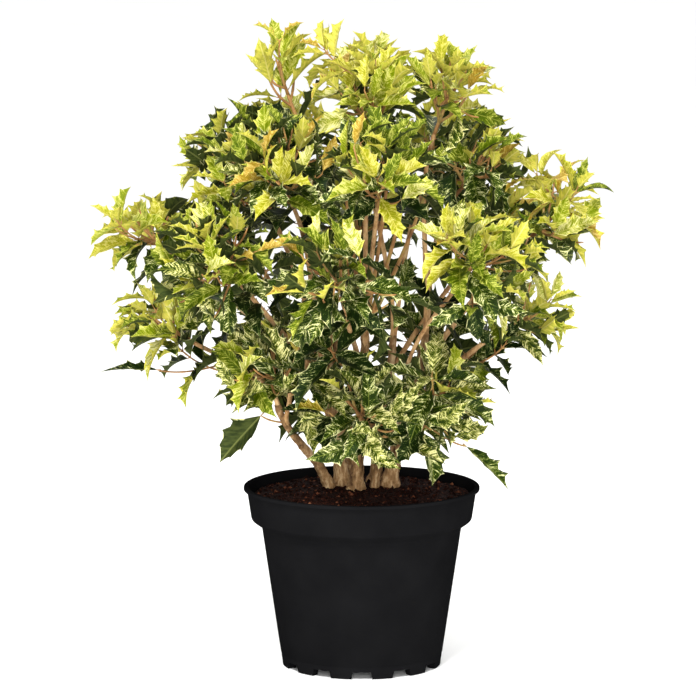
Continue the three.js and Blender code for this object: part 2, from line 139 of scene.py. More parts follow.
# Where single masses have their own height, reach and size.
OWN_SIZES = {
    "top_left": {"height": 560, "reach": 68, "size": 41, "tall": 1.4},
    "top_front": {"height": 544, "reach": 48},
    "top_right": {"height": 547, "reach": 84, "size": 50},
    "top_back": {"height": 542, "reach": 66},
    "upper_left": {"height": 488, "reach": 114, "size": 54},
    "upper_front": {"reach": 124},
    "upper_right": {"height": 480, "reach": 108, "size": 55},
    "middle_left": {"height": 418, "reach": 196, "size": 53, "tall": 0.76},
    "middle_front": {"height": 396},
    "middle_right": {"height": 434, "reach": 180, "size": 51, "tall": 0.86},
    "lower_left": {"height": 336, "reach": 184, "size": 51, "tall": 0.76},
    "lower_front_left": {"height": 298, "size": 53},
    "lower_front": {"height": 262, "reach": 100},
    "lower_front_right": {"height": 270, "reach": 92, "size": 53},
    "lower_right": {"height": 341, "reach": 156, "size": 49, "tall": 0.8},
}

# The stems: foot on the mix, tip by azimuth, reach and height, radii, and the share of the stem at
# which each bough leaves it.
STEMS = {
    "stem_left_low": {
        "foot": (-31, 9), "tip": (-64, 90, 262), "radii": (4.6, 3.1),
        "carries": {"lower_left": 1, "lower_front_left": 0.78},
    },
    "stem_mid_left": {
        "foot": (-18, 20), "tip": (-84, 44, 330), "radii": (6.8, 4),
        "carries": {
            "top_left": 1, "upper_left": 0.9, "upper_front_left": 0.78, "middle_left": 0.66,
            "middle_front_left": 0.54,
        },
    },
    "stem_middle": {
        "foot": (-5, -2), "tip": (10, 20, 338), "radii": (6.2, 3.8),
        "carries": {"top_front": 1, "upper_front": 0.86, "middle_front": 0.62, "lower_front": 0.4},
    },
    "stem_right_thin": {
        "foot": (12, 3), "tip": (42, 60, 282), "radii": (3.4, 2.7),
        "carries": {"middle_front_right": 1, "lower_front_right": 0.72},
    },
    "stem_right": {
        "foot": (27, 14), "tip": (84, 62, 326), "radii": (7, 4),
        "carries": {"top_right": 1, "upper_right": 0.86, "middle_right": 0.7, "lower_right": 0.48},
    },
    "stem_back_right": {
        "foot": (13, 37), "tip": (150, 62, 316), "radii": (5.6, 3.6),
        "carries": {
            "top_back": 1, "upper_back_right": 0.86, "middle_back_right": 0.7, "lower_back_right": 0.46,
        },
    },
    "stem_back_left": {
        "foot": (-11, 42), "tip": (-152, 64, 312), "radii": (5.6, 3.6),
        "carries": {
            "upper_back_left": 1, "middle_back": 0.84, "middle_back_left": 0.68, "lower_back_left": 0.44,
        },
    },
}
FLARE_HEIGHT = 16.0
FLARE = 0.55
SUNK = 7.0
SUNK_FLARE = 1.12
UPRIGHT_AT_FOOT = 0.45
UPRIGHT_AT_TIP = 0.65
BOUGH_TIP_RADIUS = 2.0
BOUGH_SHARE_OF_STEM = 0.66
BOUGH_TAPER = 0.8
BOUGH_ALONG_STEM = 0.4
BOUGH_HANDLES = (0.32, 0.3)
BOUGH_COLLAR = 0.3
BOUGH_COLLAR_LENGTH = 5.0
BOUGH_END = 2.5
BOUGH_END_SHARE = 0.8
ENTRY = 0.5
RING_STEP = 2.0
STEM_SIDES = 16
BOUGH_SIDES = 12

# The relief of the bark, by the share of the radius that it stands in and out and the closeness of its
# lumps, and the swellings where leaf pairs once stood: how high they are, how far apart, how far each limb
# shifts them and how long they are. Toes at a limb's foot fade out over some rings.
STEM_RELIEF = (0.26, 0.11)
BOUGH_RELIEF = (0.1, 0.12)
SWELLING = 0.1
SWELLING_SPACING = 17.0
SWELLING_SHIFT = 5.3
SWELLING_LENGTH = 1.6
TOE_RINGS = 4.0

# The shoots of a mass: a leading one, the side shoots of the solids, and finer ones on each of them.
# Lengths that are pairs are the least share and what chance adds to it. Radii are at the foot and the tip.
SIDE_SHOOTS = 4
SHOOT_REACH = 0.56
SHOOT_RUN_ON = 0.05
SHOOT_CLEARANCE = 1.6
BOW_AT_FOOT = 0.4
LEAD_BOW = 0.06
SIDE_BOW = 0.28
SIDE_POLAR = 0.75
SIDE_TURN = 0.4
SIDE_LENGTH = (0.84, 0.32)
SIDE_FEET = (0.52, 0.42)
GOLDEN_SHARE = 0.618
SIDE_GUIDE = (0.31, 0.17, 1.0)
FINE_SHARES = (0.24, 0.42, 0.58, 0.75)
FINE_ANGLES = (54, 50, 46, 42)
FINE_SHARE_SWAY = 0.12
FINE_TURN_SWAY = 0.5
FINE_BOW = 0.12
FINE_LENGTH = 42.0
FINE_LENGTHS = (0.8, 0.4)
FINE_OUTWARD = 0.2
FINE_OUTWARD_RISE = 40.0
FINE_UPWARD = 0.25
FINE_RADII = (1.05, 0.75)
SHOOT_RADII = {"leading": (BOUGH_TIP_RADIUS, 0.85), "side": (1.5, 0.85), "fan": (2.4, 1.5)}
TWIG_SWELLING = 0.22
TWIG_STEP = 3.0
TWIG_SIDES = 7
PLAIN_MASSES = ("top_left",)
MASS_REACH = 1.27
OVERRUN = 8.0

# How much of each bough's end carries leaves, how far those may reach from their mass, and the heights
# under which the leaves of some masses don't hang.
BOUGH_LEAVES = {"top": 84.0, "upper": 84.0, "middle": 140.0, "lower": 130.0}
BOUGH_REACH = 1.9
BOUGH_AGE = 2
BOUGH_ROLL = 1.3
LEAF_FLOORS = {
    "lower_front_left": 256.0, "lower_left": 280.0, "lower_front": 214.0, "lower_front_right": 212.0,
}

# The nodes of each kind of shoot: how far below its tip each stands, how far its pair of leaves opens from
# the shoot in degrees, and the pair's share of the full length.
NODES = {
    "plain": ((1.5, 28, 0.66), (10, 42, 0.86), (25, 54, 1), (42, 64, 1)),
    "leading": ((1.5, 30, 0.7), (14, 40, 0.9), (34, 50, 1), (56, 62, 1.04)),
    "bough": (
        (6, 62, 1), (24, 68, 1.04), (43, 74, 1.04), (63, 78, 1),
        (82, 78, 1), (100, 78, 0.96), (116, 78, 0.92),
    ),
    "young": ((1, 30, 0.52), (6, 50, 0.68), (15, 66, 0.8), (30, 70, 0.88)),
    "old": ((1, 58, 0.76), (7, 76, 0.92), (16, 90, 1), (32, 94, 1)),
    "apex": ((1.5, 46, 0.46), (22, 46, 0.7), (56, 52, 0.88), (84, 60, 0.96)),
}
NODES_SHARE = 0.86

# The tufts that stand out to the front and the sides: each one's mass, its tip, how its pairs are turned,
# its nodes and its leaves' tints. A tuft starts at least the rise below its tip where it can.
TUFTS = (
    ("upper_front", (14, -168, 494), 0.4, "young", ("lime", "gold")),
    ("middle_front_right", (78, -176, 440), 0.9, "young", ("cream", "gold")),
    ("upper_left", (-132, -44, 478), 0.2, "young", ("gold", "lime")),
    ("upper_front_left", (-78, -132, 488), 1.1, "young", ("lime", "gold", "olive")),
    ("middle_front", (37, -128, 384), 0.3, "old", ("deep", "marbled")),
    ("middle_front", (-30, -124, 330), 0.8, "old", ("marbled", "deep")),
    ("lower_front_left", (-50, -96, 300), 0.5, "old", ("pied", "marbled")),
    ("lower_front_right", (66, -100, 300), 1.3, "old", ("pied", "marbled")),
    ("lower_front", (-36, -78, 262), 0.1, "old", ("deep", "marbled")),
    ("lower_right", (182, -24, 362), 0.7, "young", ("cream", "lime")),
    ("lower_left", (-200, -34, 356), 0.2, "young", ("cream", "lime")),
    ("middle_right", (168, -16, 482), 0.5, "young", ("gold", "bronze")),
    ("middle_right", (206, -30, 470), 0.2, "young", ("bronze", "olive", "gold")),
    ("middle_left", (-234, -30, 438), 0.6, "young", ("lime", "gold")),
    ("lower_right", (138, -34, 320), 0.5, "young", ("deep", "olive")),
    ("lower_left", (-176, -42, 318), 0.9, "young", ("deep", "lime")),
    ("top_front", (-36, -40, 604), 0.9, "young", ("gold", "bronze")),
    ("top_left", (-79, -2, 610), 0.1, "apex", ("lime", "gold")),
    ("middle_front_left", (-88, -70, 402), 1.0, "old", ("pied", "marbled")),
    ("lower_front_right", (62, -88, 250), 0.4, "old", ("deep", "marbled")),
)
TUFT_RISE = 26.0
TUFT_EVERY = 10
TUFT_BOW = 0.2

# The window at the front of the crown, as its least and greatest corners, and the thin stems that fan
# up behind it, from a share of their stem.
WINDOW = ((-6, -200, 406), (46, -16, 452))
FAN_STEM = "stem_middle"
FAN_MASS = "upper_front"
FAN_FOOT = 0.95
FAN_BOW = 0.1
FAN_TIPS = ((-16, -52, 474), (24, -62, 480), (44, -48, 478), (62, -36, 470))

# Single leaves that hang out under the crown, each on a twig from its mass's bough: the bough's share, the
# leaf's root and tip, the way its upper face turns, its width as a share of the others', and its tint.
LONE_LEAVES = {
    "lower_front_left": (0.06, (-97, -44, 252), (-139, -50, 208), (-0.3, 0.95, 0.1), 1.3, "deep"),
    "lower_front_right": (0.85, (100, -62, 225), (145, -64, 186), (0, -0.3, 0.7), 0.8, "marbled"),
    "lower_front": (0.5, (24, -84, 238), (82, -92, 217), (0.1, -0.55, 0.8), 1.0, "pied"),
    "lower_left": (0.55, (-197, -40, 296), (-252, -44, 300), (0, -0.25, 0.8), 0.9, "deep"),
}
LONE_BOW = 0.12
LONE_AGE = 4
LONE_CURL = 0.3

# The leaves' sizes in millimetres and degrees. Pairs are the least of a measure and what chance adds to
# it, and sways are what chance adds or takes in all.
LEAF_LENGTH = 59.0
LEAF_LENGTHS = (0.88, 0.24)
LEAF_HALF_WIDTH = 0.2
LEAF_WIDTHS = (0.9, 0.25)
LEAF_FOLD = (14, 24)
LEAF_CURL = (4, 52)
LEAF_CURL_BY_AGE = 6
LEAF_CURL_POWER = 1.8
LEAF_WARP = (0.88, 0.26)
LEAF_TWIST_SWAY = 26
LEAF_TURN_SWAY = 0.25
LEAF_OPEN_SWAY = 18
LEAF_CLEARANCE = 1.0
NEAR_LIMB = 60.0
FACE_ALONG_SHOOT = 0.72
FACE_UP = 0.34
PETIOLE = 4.0
PETIOLE_RADIUS = 0.65
PETIOLE_SIDES = 5

# A leaf that doesn't fit is tried again with more turn, more opening and a smaller size.
LEAF_TRIES = (
    (0.0, 0.0, 1.0), (0.35, 0.1, 1.0), (-0.35, -0.1, 1.0), (0.0, 0.3, 0.94),
    (0.0, -0.3, 0.94), (0.6, 0.1, 0.88), (-0.6, 0.1, 0.88), (0.25, -0.2, 0.8),
)

SHOOTS_SEED = 7919
FINE_SEED = 15485863
TUFTS_SEED = 32452843
LEAVES_SEED = 104729
UP = np.array((0.0, 0.0, 1.0))
GOLDEN_ANGLE = math.pi * (3 - math.sqrt(5))
WORD = 0xFFFFFFFF
CURVE_STEPS = 200
TANGENT_STEP = 0.004


def series(seed):
    """The solids' own seeded series of numbers from 0 to 1."""
    state = seed & WORD

    def draw():
        nonlocal state
        state = (state + 0x6D2B79F5) & WORD
        t = ((state ^ (state >> 15)) * (state | 1)) & WORD
        t = ((t + ((t ^ (t >> 7)) * (t | 61) & WORD)) & WORD) ^ t
        return ((t ^ (t >> 14)) & WORD) / (WORD + 1)

    return draw


def vary(pair, random):
    """The least of a measure with what chance adds to it."""
    least, more = pair
    return least + more * random()


def sway(whole, random):
    return whole * (random() - 0.5)


def unit(vector):
    return vector / np.linalg.norm(vector)


def place(azimuth, reach, height, middle=0.0):
    """A point by its azimuth from the front, its reach from the middle line, and its height."""
    turn = math.radians(azimuth)
    return np.array((middle + reach * math.sin(turn), -reach * math.cos(turn), float(height)))


def perpendicular(axis):
    """A direction square to an axis, chosen as the solids choose it."""
    least = np.zeros(3)
    least[2 - int(np.argmin(np.abs(axis[::-1])))] = 1.0
    return np.cross(axis, unit(np.cross(axis, least)))


def opened(axis, side, around, open_by):
    """The way that leaves an axis by an angle, at a turn round it from its side."""
    radial = side * math.cos(around) + np.cross(axis, side) * math.sin(around)
    return axis * math.cos(open_by) + radial * math.sin(open_by)


class Curve:
    """A line of close points that is read by shares of its length."""

    def __init__(self, points):
        self.points = points
        steps = np.linalg.norm(np.diff(points, axis=0), axis=1)
        self.lengths = np.concatenate(([0.0], np.cumsum(steps)))
        self.length = self.lengths[-1]

    def at(self, share):
        wanted = share * self.length
        return np.array([np.interp(wanted, self.lengths, self.points[:, i]) for i in range(3)])

    def tangent(self, share):
        return unit(self.at(min(1.0, share + TANGENT_STEP)) - self.at(max(0.0, share - TANGENT_STEP)))


def bezier(a, b, c, d):
    t = np.linspace(0, 1, CURVE_STEPS + 1)[:, None]
    return Curve((1 - t) ** 3 * a + 3 * (1 - t) ** 2 * t * b + 3 * (1 - t) * t**2 * c + t**3 * d)


# The rule of the solids: masses, stems, boughs and shoots.
def make_masses():
    masses = {}
    for tier, facts in TIERS.items():
        height, reach, size, outward, spread, tall = facts["sizes"]
        for side, azimuth in facts["azimuths"].items():
            name = f"{tier}_{side}"
            own = {"height": height, "reach": reach, "size": size, "tall": tall, **OWN_SIZES.get(name, {})}
            masses[name] = {
                "name": name,
                "tier": tier,
                "centre": place(azimuth, own["reach"], own["height"], CROWN_X),
                "size": float(own["size"]),
                "axis": unit(place(azimuth, outward, 0) + UP),
                "spread": spread,
                "tall": own["tall"],
                "seed": len(masses) + 1,
            }
    return masses


def stem_curve(stem):
    a = np.array((*stem["foot"], SOIL_LEVEL + GAP), float)
    azimuth, reach, height = stem["tip"]
    b = place(azimuth, reach, height)
    rise = UP * (b[2] - a[2]) / 3
    start = (a + rise) * UPRIGHT_AT_FOOT + (a + (b - a) / 3) * (1 - UPRIGHT_AT_FOOT)
    end = (b - rise) * UPRIGHT_AT_TIP + (a + (b - a) * 2 / 3) * (1 - UPRIGHT_AT_TIP)
    return bezier(a, start, end, b)


def stem_radius(stem, share):
    low, high = stem["radii"]
    flare = 1 + FLARE * math.exp(-share * stem["curve"].length / (FLARE_HEIGHT / 2))
    return (low + (high - low) * share) * flare


def bough_curve(stem, share, mass):
    start = stem["curve"].at(share)
    end = mass["centre"] - mass["axis"] * ENTRY * mass["size"] * mass["tall"]
    span = np.linalg.norm(end - start)
    leave = stem["curve"].tangent(share)
    if share < 1:
        leave = unit(leave * BOUGH_ALONG_STEM + unit(end - start) * (1 - BOUGH_ALONG_STEM))
    first, last = BOUGH_HANDLES
    return bezier(start, start + leave * first * span, end - mass["axis"] * last * span, end)


def bough_radius(foot, share):
    return foot + (BOUGH_TIP_RADIUS - foot) * share**BOUGH_TAPER


def line_shoot(start, end, bow, kind, roll, nodes="plain", tints=()):
    """A shoot that dips a little from its start and turns up to its end. The first pair of its leaves
    stands at its roll, and its tints, if it has any, are its leaves' own."""
    lift = bow * np.linalg.norm(end - start)
    third = (end - start) / 3
    curve = bezier(start, start + third - lift * UP * BOW_AT_FOOT, start + 2 * third - lift * UP, end)
    return {"curve": curve, "kind": kind, "roll": roll, "nodes": nodes, "tints": tints, "bare": True}


def main_shoots(mass):
    """The leading shoot and the side shoots of the solids, each run on a little past its solid's tip."""
    random = series(mass["seed"] * SHOOTS_SEED)
    axis, centre, size = mass["axis"], mass["centre"], mass["size"]
    stretch = np.array((1, 1, mass["tall"]))
    foot = mass["bough"].at(1) + axis * GAP
    head = centre + axis * SHOOT_REACH * size * mass["tall"]
    side = unit(np.cross(axis, SIDE_GUIDE))
    other = np.cross(axis, side)
    turn = random() * 2 * math.pi
    tip = head + axis * SHOOT_RUN_ON * size
    shoots = [line_shoot(foot, tip, LEAD_BOW, "leading", math.pi / 4, "leading")]
    for i in range(SIDE_SHOOTS):
        polar = mass["spread"] * (SIDE_POLAR + ((i + 1) * GOLDEN_SHARE) % 1)
        around = turn + (i + 1) * GOLDEN_ANGLE + SIDE_TURN * random()
        way = (
            axis * math.cos(polar)
            + side * math.sin(polar) * math.cos(around)
            + other * math.sin(polar) * math.sin(around)
        )
        reach = SHOOT_REACH * vary(SIDE_LENGTH, random)
        tip = centre + way * stretch * (reach + SHOOT_RUN_ON) * size
        highest, span = SIDE_FEET
        start = foot + (head - foot) * (highest - span * i / SIDE_SHOOTS)
        shoots.append(line_shoot(start, tip, SIDE_BOW, "side", 2 * math.pi * random()))
    return shoots


def fine_shoots(mass, parents):
    """Finer shoots along each main one, on alternate sides, that lean to the outside and the light."""
    random = series(mass["seed"] * FINE_SEED)
    outward = unit(mass["centre"] * (1, 1, 0) + UP * FINE_OUTWARD_RISE)
    made = []
    for parent in parents:
        curve = parent["curve"]
        side = perpendicular(curve.tangent(0.5))
        turn = 2 * math.pi * random()
        for k, (share, angle) in enumerate(zip(FINE_SHARES, FINE_ANGLES)):
            share += sway(FINE_SHARE_SWAY, random)
            start = curve.at(share)
            around = turn + k * (math.pi + sway(FINE_TURN_SWAY, random))
            way = opened(curve.tangent(share), side, around, math.radians(angle))
            way = unit(way + FINE_OUTWARD * outward + FINE_UPWARD * UP)
            end = start + way * (FINE_LENGTH * vary(FINE_LENGTHS, random))
            made.append(line_shoot(start, end, FINE_BOW, "finer", 2 * math.pi * random()))
    return made


def bough_end(mass):
    """The end of the bough below its mass, which carries older leaves as a shoot does."""
    bough = mass["bough"]
    first = max(0.0, 1 - BOUGH_LEAVES[mass["tier"]] / bough.length)
    curve = Curve(np.array([bough.at(share) for share in np.linspace(first, 1, CURVE_STEPS // 2)]))
    return {"curve": curve, "kind": "bough", "roll": mass["seed"] * BOUGH_ROLL, "nodes": "bough"}


def tuft_shoots(mass, leading):
    """The shoots of the mass's tufts, each from the nearest point of the bough or of the leading shoot
    that lies well below it."""
    ways = np.concatenate([curve.points[::TUFT_EVERY] for curve in (mass["bough"], leading["curve"])])
    shoots = []
    for tuft_mass, tip, roll, nodes, tints in TUFTS:
        if tuft_mass == mass["name"]:
            tip = np.array(tip, float)
            below = ways[ways[:, 2] <= max(tip[2] - TUFT_RISE, ways[:, 2].min())]
            start = below[np.argmin(np.linalg.norm(below - tip, axis=1))]
            shoots.append(line_shoot(start, tip, TUFT_BOW, "tuft", roll, nodes, tints))
    return shoots


def bare_twigs(mass, stems):
    """The twig of the mass's single leaf, if it has one, and the thin stems behind the window."""
    twigs = []
    if mass["name"] in LONE_LEAVES:
        share, root = LONE_LEAVES[mass["name"]][:2]
        twigs.append(line_shoot(mass["bough"].at(share), np.array(root, float), LONE_BOW, "lone", 0.0))
    if mass["name"] == FAN_MASS:
        foot = stems[FAN_STEM]["curve"].at(FAN_FOOT)
        twigs += [line_shoot(foot, np.array(tip, float), FAN_BOW, "fan", 0.0) for tip in FAN_TIPS]
    return twigs


# Leaves. A blade is a grid of rows along it and columns across it. Its rows are set by its spines, each by
# its step from its spine, its margin's floor and peak, and how far it is shifted forwards and lifted.
SPINES = (0.29, 0.52, 0.74)
SPINE_ROWS = (
    (-0.11, 0.76, 0.0, 0.0, -0.3),
    (-0.04, 0.86, 0.08, 0.2, 0.2),
    (0.0, 0.9, 0.36, 1.0, 1.0),
    (0.028, 0.86, 0.06, 0.4, 0.3),
)
FIRST_ROWS = ((0.0, 0.05), (0.045, 0.5))
END_ROWS = ((0.85, 0.8), (0.93, 0.6), (1.0, 0.02))
COLUMNS = np.array((-1.0, -0.72, -0.36, 0.0, 0.36, 0.72, 1.0))
SPINE_FORWARD = 0.05
INNER_SHARE = 0.78
SPINE_LIFT = 0.06
LEAST_WIDTH = 0.04
BLADE_THICKNESS = 0.45

# How spiny the leaves are: the young and the old, and how often a spine is short or bends down.
SPINY_YOUNG = (0.46, 0.5)
SPINY_OLD = (0.34, 0.5)
SPINE_SIZE = (0.8, 0.4)
SPINE_BEND = (0.3, 1.0)
SHORT_SPINE = 0.4
SHORT_SPINES = 0.15
UPWARD_SPINES = 0.72
DOWNWARD = -0.8


def envelope(forward):
    """The blade's half width without its spines, as a share of the widest."""
    ahead = np.clip(forward, 0.0, 1.0)
    return np.sin(math.pi * ahead**0.85) ** (0.85 + 0.45 * ahead)


def blade_rows():
    """For each row: its place, its margin's floor and peak, its shift, its lift and the spine it takes."""
    rows = [(step, floor, 0.0, 0.0, 0.0, -1) for step, floor in FIRST_ROWS]
    for k, spine in enumerate(SPINES):
        rows += [(spine + step, floor, peak, shift, lift, k) for step, floor, peak, shift, lift in SPINE_ROWS]
    rows += [(step, floor, 0.0, 0.0, 0.0, -1) for step, floor in END_ROWS]
    return np.array(rows).T


FORWARD, FLOOR, PEAK, SHIFT, LIFT, SPINE_OF_ROW = blade_rows()
SPINE_OF_ROW = SPINE_OF_ROW.astype(int)
SMOOTH = np.maximum(envelope(FORWARD), LEAST_WIDTH) * np.minimum(1.0, FLOOR / 0.5)
ROW_COUNT = len(FORWARD)
COLUMN_COUNT = len(COLUMNS)
INNER_POINTS = (ROW_COUNT - 2) * (COLUMN_COUNT - 2)
LEAF_POINTS = ROW_COUNT * COLUMN_COUNT + INNER_POINTS


def grid_quads(grid):
    return np.stack((grid[:-1, :-1], grid[:-1, 1:], grid[1:, 1:], grid[1:, :-1]), -1).reshape(-1, 4)


def blade_faces():
    """Quads of the two sheets, which share the margin. They count the top grid's points first, and then
    the under grid's inner ones."""
    top = np.arange(ROW_COUNT * COLUMN_COUNT).reshape(ROW_COUNT, COLUMN_COUNT)
    under = top.copy()
    under[1:-1, 1:-1] = top.size + np.arange(INNER_POINTS).reshape(ROW_COUNT - 2, COLUMN_COUNT - 2)
    return grid_quads(top), grid_quads(under)[:, ::-1]


TOP_QUADS, UNDER_QUADS = blade_faces()
BLADE_QUADS = np.concatenate((TOP_QUADS, UNDER_QUADS))

# A leaf's stand-in, for the tests of whether it fits, is a coarse grid of its points.
STAND_IN_ROWS = (1, 7, 12, ROW_COUNT - 1)
STAND_IN_COLUMNS = (0, 3, 6)
STAND_IN_POINTS = np.arange(len(STAND_IN_ROWS) * len(STAND_IN_COLUMNS))
STAND_IN_FACES = grid_quads(STAND_IN_POINTS.reshape(-1, len(STAND_IN_COLUMNS))).tolist()


def leaf_shape(random, age):
    """The shape of one leaf, drawn once: its spines, fold, curl and twist. The older bend back further."""
    spiny = vary(SPINY_YOUNG if age < 2 else SPINY_OLD, random)
    spines = [
        [spiny * (SHORT_SPINE if random() < SHORT_SPINES else vary(SPINE_SIZE, random)) for _ in SPINES]
        for _ in range(2)
    ]
    lifts = [
        [(1.0 if random() < UPWARD_SPINES else DOWNWARD) * vary(SPINE_BEND, random) for _ in SPINES]
        for _ in range(2)
    ]
    least_curl, more_curl = LEAF_CURL
    return {
        "spines": np.array(spines),
        "lifts": np.array(lifts),
        "fold": math.radians(vary(LEAF_FOLD, random)),
        "curl": math.radians(least_curl + LEAF_CURL_BY_AGE * min(age, 3) + more_curl * random()),
        "twist": math.radians(sway(LEAF_TWIST_SWAY, random)),
        "width": LEAF_HALF_WIDTH * vary(LEAF_WIDTHS, random),
        "warp": vary(LEAF_WARP, random),
    }


def blade_points(shape, root, along, face, length):
    """The top grid of a blade's points, their places across it in blade lengths, and its rows' normals."""
    half = shape["width"] * length
    forward_share = FORWARD ** shape["warp"]
    across_way = np.cross(along, face)
    angle = shape["curl"] * forward_share**LEAF_CURL_POWER
    steps = np.diff(forward_share, prepend=0.0) * length
    middle_angle = (angle + np.concatenate(([0.0], angle[:-1]))) / 2
    ahead = np.cumsum(steps * np.cos(middle_angle))
    drop = np.cumsum(steps * np.sin(middle_angle))
    tangent = np.cos(angle)[:, None] * along - np.sin(angle)[:, None] * face
    normal = np.sin(angle)[:, None] * along + np.cos(angle)[:, None] * face
    spine = root + ahead[:, None] * along - drop[:, None] * face
    twist = shape["twist"] * forward_share
    side_way = np.cos(twist)[:, None] * across_way + np.sin(twist)[:, None] * normal
    up_way = np.cos(twist)[:, None] * normal - np.sin(twist)[:, None] * across_way
    points = np.empty((ROW_COUNT, COLUMN_COUNT, 3))
    across = np.empty((ROW_COUNT, COLUMN_COUNT))
    steep = math.tan(shape["fold"])
    for c, column in enumerate(COLUMNS):
        size = abs(column)
        hand = 0 if column < 0 else 1
        width = SMOOTH * INNER_SHARE * half * size
        lift = width * steep
        forward = np.zeros(ROW_COUNT)
        if size == 1.0:
            gain = np.where(SPINE_OF_ROW >= 0, shape["spines"][hand][SPINE_OF_ROW], 0.0)
            bend = np.where(SPINE_OF_ROW >= 0, shape["lifts"][hand][SPINE_OF_ROW], 0.0)
            width = envelope(FORWARD) * (FLOOR + PEAK * gain) * half
            width = np.maximum(width, FLOOR * 0.1 * half)
            lift = width * steep + LIFT * bend * SPINE_LIFT * length
            forward = SHIFT * gain * SPINE_FORWARD * length
        points[:, c] = (
            spine
            + math.copysign(1.0, column) * width[:, None] * side_way
            + lift[:, None] * up_way
            + forward[:, None] * tangent
        )
        across[:, c] = math.copysign(1.0, column) * width / length
    return points, across, normal


def stand_in(points):
    return points[np.ix_(STAND_IN_ROWS, STAND_IN_COLUMNS)].reshape(-1, 3)


def leaf_tree(points):
    return BVHTree.FromPolygons(points.tolist(), STAND_IN_FACES)


def blade_way(shoot, down, around, open_by):
    """Where a leaf's root is, the way it points and the way it faces."""
    curve = shoot["curve"]
    share = max(0.0, 1 - down / curve.length)
    axis = curve.tangent(share)
    along = unit(opened(axis, perpendicular(axis), around, open_by))
    face = axis - along * axis.dot(along)
    face = face * FACE_ALONG_SHOOT + UP * FACE_UP
    return curve.at(share), along, unit(face - along * face.dot(along))


class Room:
    """What shoots and leaves keep clear of: the other masses' spaces, the limbs, and the leaves before
    them, which are kept in a grid of cells as wide as a leaf's reach."""

    CELL = 1.1 * LEAF_LENGTH

    def __init__(self, masses, limbs):
        self.masses = masses
        self.limbs = limbs
        self.cells = {}

    def in_own_space(self, mass, points, reach, overrun=0.0):
        """True where every point is inside the mass's ellipsoid and no further past the planes between
        the masses than the overrun."""
        off = (points - mass["centre"]) / (1, 1, mass["tall"])
        if np.linalg.norm(off, axis=1).max() > mass["size"] * reach:
            return False
        mine = ((points - mass["centre"]) ** 2).sum(1) - mass["size"] ** 2
        for other in self.masses.values():
            if other is mass:
                continue
            apart = 2 * np.linalg.norm(mass["centre"] - other["centre"])
            theirs = ((points - other["centre"]) ** 2).sum(1) - other["size"] ** 2
            if ((theirs - mine) / apart).min() <= -overrun:
                return False
        return True

    def off_the_limbs(self, points, clearance):
        """True if no point is nearer than the clearance to the bark of the stems and boughs."""
        close = self.limbs[np.abs(self.limbs[:, :3] - points.mean(0)).max(1) < NEAR_LIMB]
        if not len(close):
            return True
        apart = np.linalg.norm(points[:, None] - close[None, :, :3], axis=2)
        return (apart - close[None, :, 3]).min() > clearance

    def fits(self, mass, kind, points):
        """True where a leaf's stand-in has room. A tuft's leaves may leave their mass's own space."""
        if kind != "tuft":
            if points[:, 2].min() < LEAF_FLOORS.get(mass["name"], SOIL_LEVEL):
                return False
            if ((points > WINDOW[0]) & (points < WINDOW[1])).all(1).any():
                return False
            if not self.in_own_space(mass, points, BOUGH_REACH if kind == "bough" else MASS_REACH, OVERRUN):
                return False
        return self.off_the_limbs(points[len(STAND_IN_COLUMNS):], LEAF_CLEARANCE)

    def cell(self, points):
        return tuple((points.mean(0) // self.CELL).astype(int))

    def take(self, tree, points):
        self.cells.setdefault(self.cell(points), []).append(tree)

    def crossed(self, tree, points):
        x, y, z = self.cell(points)
        around = [(x + i, y + j, z + k) for i in (-1, 0, 1) for j in (-1, 0, 1) for k in (-1, 0, 1)]
        return any(tree.overlap(other) for cell in around for other in self.cells.get(cell, ()))


def shoots_of(mass, parents, room):
    """The shoots that keep to the mass's own space and clear of the limbs."""
    kept = [parents[0]]
    finer = [] if mass["name"] in PLAIN_MASSES else fine_shoots(mass, parents)
    for shoot in parents[1:] + finer:
        points = shoot["curve"].points[40::20]
        if room.in_own_space(mass, points, 1.0) and room.off_the_limbs(points, SHOOT_CLEARANCE):
            kept.append(shoot)
    return kept + [bough_end(mass)]


def leaf_that_fits(mass, shoot, down, around, open_by, length, shape, room):
    """A leaf in the first of its tries that has room and crosses no other, or none."""
    for more_turn, more_open, scale in LEAF_TRIES:
        root, along, face = blade_way(shoot, down, around + more_turn, open_by + more_open)
        base = root + along * PETIOLE
        points, across, normal = blade_points(shape, base, along, face, length * scale)
        coarse = stand_in(points)
        if room.fits(mass, shoot["kind"], coarse):
            tree = leaf_tree(coarse)
            if not room.crossed(tree, coarse):
                room.take(tree, coarse)
                return {"points": points, "across": across, "normal": normal, "root": root, "base": base}
    return None


def grow_leaves(mass, shoots, room, random):
    """Opposite pairs of leaves on every shoot, each pair square to the last."""
    leaves = []
    for shoot in shoots:
        tone = random()
        for k, (down, opening, share) in enumerate(NODES[shoot["nodes"]]):
            if down > NODES_SHARE * shoot["curve"].length:
                continue
            for half in (0.0, math.pi):
                turn = shoot["roll"] + k * math.pi / 2 + sway(LEAF_TURN_SWAY, random)
                open_by = math.radians(opening + sway(LEAF_OPEN_SWAY, random))
                length = LEAF_LENGTH * share * vary(LEAF_LENGTHS, random)
                shape = leaf_shape(random, k)
                draw = random()
                leaf = leaf_that_fits(mass, shoot, down, turn + half, open_by, length, shape, room)
                if leaf:
                    age = k + (BOUGH_AGE if shoot["kind"] == "bough" else 0)
                    leaves.append({**leaf, "age": age, "tone": tone, "draw": draw, "shoot": shoot})
                    shoot["bare"] = False
    return leaves


